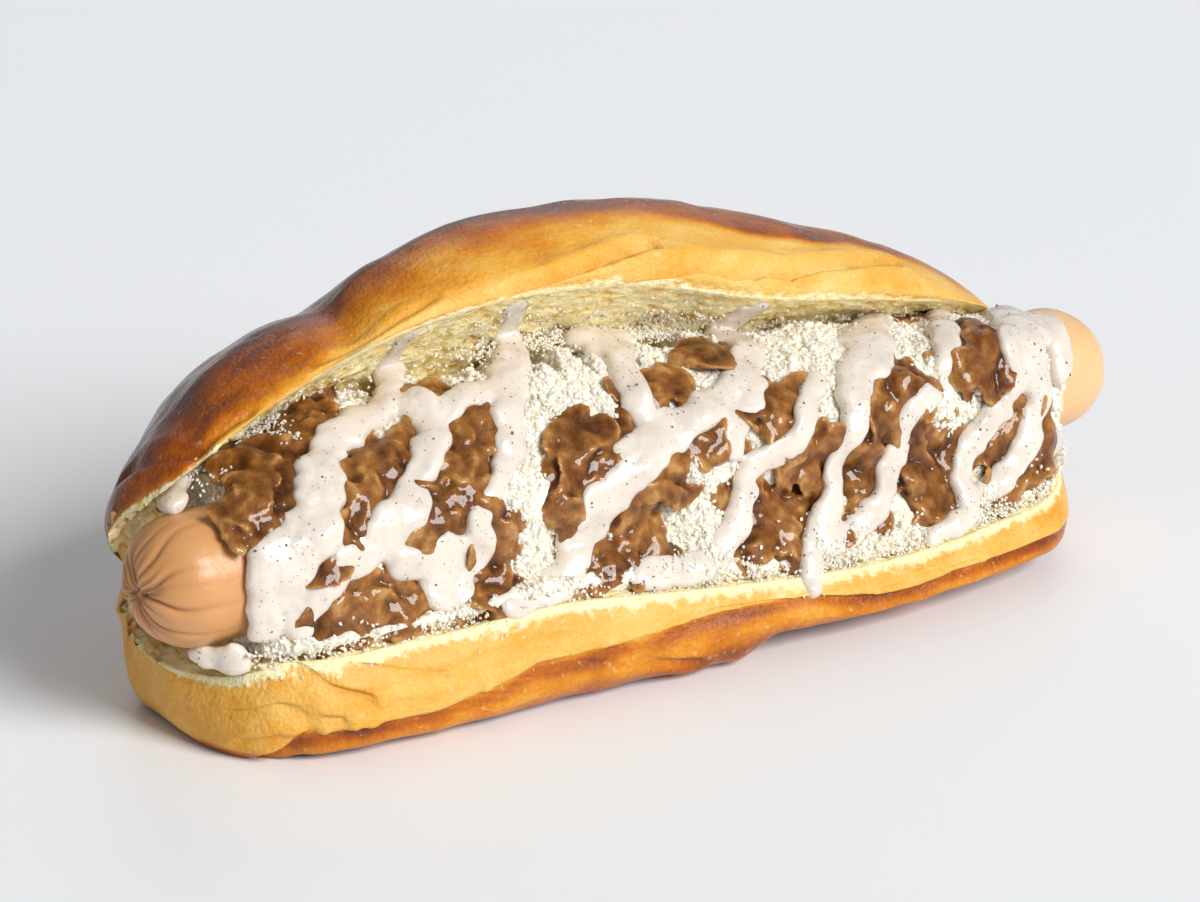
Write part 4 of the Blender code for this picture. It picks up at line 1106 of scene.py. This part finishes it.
# Outline of the sauce across a line: share of its half width, and share of its height
top_shares = np.linspace(-1, 1, SAUCE_TOP_POINTS)
shares = np.concatenate([top_shares, (0.6, 0.0, -0.6)])
heights = np.concatenate([(1 - np.abs(top_shares) ** 2.6) ** 0.6, (0, 0, 0)])
depths = np.concatenate([np.full(SAUCE_TOP_POINTS, 0.25), np.full(3, 1.0)])
depths[1:SAUCE_TOP_POINTS - 1] = 0
around = len(shares)
for way in SAUCE_LINES:
    way = np.asarray(way, float)
    bends = np.linalg.norm(np.diff(on_front(way[:, 0], way[:, 1]), axis=0), axis=1)
    count = max(8, round(float(bends.sum()) / SAUCE_STEP))
    track_x, track_up, width = smooth(way, np.linspace(0, len(way) - 1, count)).T
    origin, side, rising, outward = front_axes(track_x, track_up)
    travel = unit(np.gradient(origin, axis=0))
    across = unit(np.cross(travel, outward))
    # Millimetres of heap front for one unit of up
    rate = on_front(track_x, track_up + 0.02) - on_front(track_x, track_up - 0.02)
    rate = np.linalg.norm(rate, axis=1) / 0.04
    run = np.concatenate([[0], np.cumsum(np.linalg.norm(np.diff(origin, axis=0), axis=1))])
    close = np.clip(np.minimum(run / (0.5 * width[0]), (run[-1] - run) / (0.5 * width[-1])), 0, 1)
    taper = np.maximum(np.sqrt(1 - (1 - close) ** 2), 0.12)
    ragged = [1 + 0.36 * lumps(origin, 4.5, seed) + 0.24 * lumps(origin, 1.9, seed + 1) for seed in (51, 57)]
    half = 0.42 * (width * taper)[:, None] * np.where(shares > 0, ragged[0][:, None], ragged[1][:, None])
    offset = half * shares
    x = track_x[:, None] + offset * np.sum(across * side, axis=1, keepdims=True)
    up = track_up[:, None] + offset * np.sum(across * rising, axis=1, keepdims=True) / rate[:, None]
    surface, _, _, lifted = front_axes(x, up)
    mid_level = np.pad(onion_rise(track_x, track_up), 3, mode="edge")
    mid_level = np.convolve(mid_level, np.full(7, 1 / 7), mode="valid")
    level = 0.55 * onion_rise(x, up) + 0.45 * mid_level[:, None]
    full = SAUCE_THICKNESS * (0.9 + 0.3 * lumps(origin, 5.0, 54)) * taper**0.7
    full = full * np.clip(width / 7.5, 0.45, 1.1)
    full = full * (1 - 0.65 * step(track_up, 1.0, 1.25))
    height = level + full[:, None] * heights - SAUCE_SINK * depths
    line_faces = tube_faces(count, around)
    line_faces.append(tuple(reversed(range(around))))
    line_faces.append(tuple((count - 1) * around + i for i in range(around)))
    sauce_parts.append((surface + lifted * height.reshape(-1, 1), line_faces))

cream, tree, shader = new_finish("pale_sauce")
fill(tree, shader, {
    "Base Color": colours(tree, patches(tree, 0.006, 4.0), (
        (0.3, (0.68, 0.60, 0.515)), (0.6, (0.77, 0.69, 0.60)))),
    "Roughness": varied(tree, 0.004, 2.0, 0.2, 0.34),
    "Coat Weight": 0.35,
    "Coat Roughness": 0.1,
    "Subsurface Weight": 0.3,
    "Subsurface Radius": (1.0, 0.75, 0.55),
    "Subsurface Scale": 0.002,
    "Normal": raised(tree, patches(tree, 0.0012, 3.0), 0.00012)})
sauce = new_piece("sauce", *joined(sauce_parts), cream)
points, normals = melt(sauce, SAUCE_VOXEL, 5)
ripple = 0.28 * lumps(points, 3.2, 55) + 0.14 * lumps(points, 1.5, 56)
points = points + normals * ripple[:, None]
move_points(sauce, points)
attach(sauce, "root")
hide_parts("onion_heap")

# Pepper: ground black and brown specks and flakes in the sauce, a fraction of a millimetre
# across. They stick to its skin, closer in some places than in others.
pepper, tree, shader = new_finish("ground_pepper")
fill(tree, shader, {
    "Base Color": colours(tree, patches(tree, 0.002, 1.0), (
        (0.35, (0.045, 0.036, 0.030)), (0.6, (0.20, 0.14, 0.10)))),
    "Roughness": 0.6})
# Grains for a square metre, smallest and largest grain, and seed
PEPPER_GRAINS = {
    "pepper_specks": (330000, (0.00010, 0.00009, 0.00006), (0.00044, 0.00032, 0.00020), 61),
    "pepper_flakes": (52000, (0.00034, 0.00026, 0.00014), (0.00095, 0.00062, 0.00030), 62)}
quads = [tuple(face.vertices) for face in sauce.data.polygons]
spread = 0.3 + 0.7 * step(lumps(points, 5.0, 63), -0.4, 0.6)
for name, grains in PEPPER_GRAINS.items():
    flakes = strewn(name, points, quads, spread, pepper, *grains)
    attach(flakes, "root")
    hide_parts("onion_heap")

# Loose cheese: grains that have fallen on the lower lip of the roll and on its upper cut face.
# They lie on the bread in patches, thickest where the heap is fullest, and fewer on the onions.
LOOSE_LEFT = -86
LOOSE_RIGHT = 88
LOOSE_STATIONS = 220
# Grains for a square metre, smallest and largest grain, and seed
LOOSE_GRAINS = (3000000, (0.0003, 0.0003, 0.0003), (0.0011, 0.0010, 0.0008), 72)
lip_x = np.linspace(LOOSE_LEFT, LOOSE_RIGHT, LOOSE_STATIONS)
lip_up = np.concatenate([np.linspace(-0.16, 0.10, 18), np.linspace(0.80, 1.5, 32)])
grid_x, grid_up = np.meshgrid(lip_x, lip_up, indexing="ij")
guide, _, _, outward = front_axes(grid_x, grid_up)
laid = guide.reshape(*grid_x.shape, 3)
patchy = step(lumps(laid, 8.0, 71), -0.7, 0.3)
high = (step(-grid_up, -1.22, -1.0) + 0.02 * step(-grid_up, -1.5, -1.3)) * step(grid_up, 0.86, 0.94)
high = high * (1 - 0.85 * bump(grid_x, -42, 18))
low = 0.12 * step(grid_up, -0.16, -0.10) + 0.9 * bump(grid_up, 0.0, 0.06)
fallen = np.where(grid_up < 0.5, low, high) * (0.25 + 0.75 * patchy)
fallen = fallen * (1 - 0.9 * step(onion_rise(grid_x, grid_up), 0.5, 1.5))
# It lies thickest at both ends of the upper rim, and on the lower lip by the left end
clumps = step(lumps(laid, 4.0, 73), -0.05, 0.2)
fallen = fallen + clumps * bump(grid_x, -74, 10) * bump(grid_up, 0.95, 0.13)
fallen = fallen + bump(grid_x, 80, 9) * bump(grid_up, 1.0, 0.15)
fallen = fallen + 0.6 * bump(grid_x, -72, 11) * bump(grid_up, 0.0, 0.05)
fallen[(grid_up > 0.1) & (grid_up < 0.80)] = 0.0
lift = (0.2 + 1.6 * bump(grid_up, 0.06, 0.04) + 0.8 * onion_rise(grid_x, grid_up)).ravel()[:, None]
row, column = np.meshgrid(np.arange(len(lip_x) - 1), np.arange(len(lip_up) - 1), indexing="ij")
first = row * len(lip_up) + column
faces = np.stack([first, first + len(lip_up), first + len(lip_up) + 1, first + 1], -1)
loose = strewn("fallen_cheese", guide + lift * outward, faces.reshape(-1, 4).tolist(), fallen, curd,
               *LOOSE_GRAINS)
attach(loose, "root")
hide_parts("cheese_heap")

low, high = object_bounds()
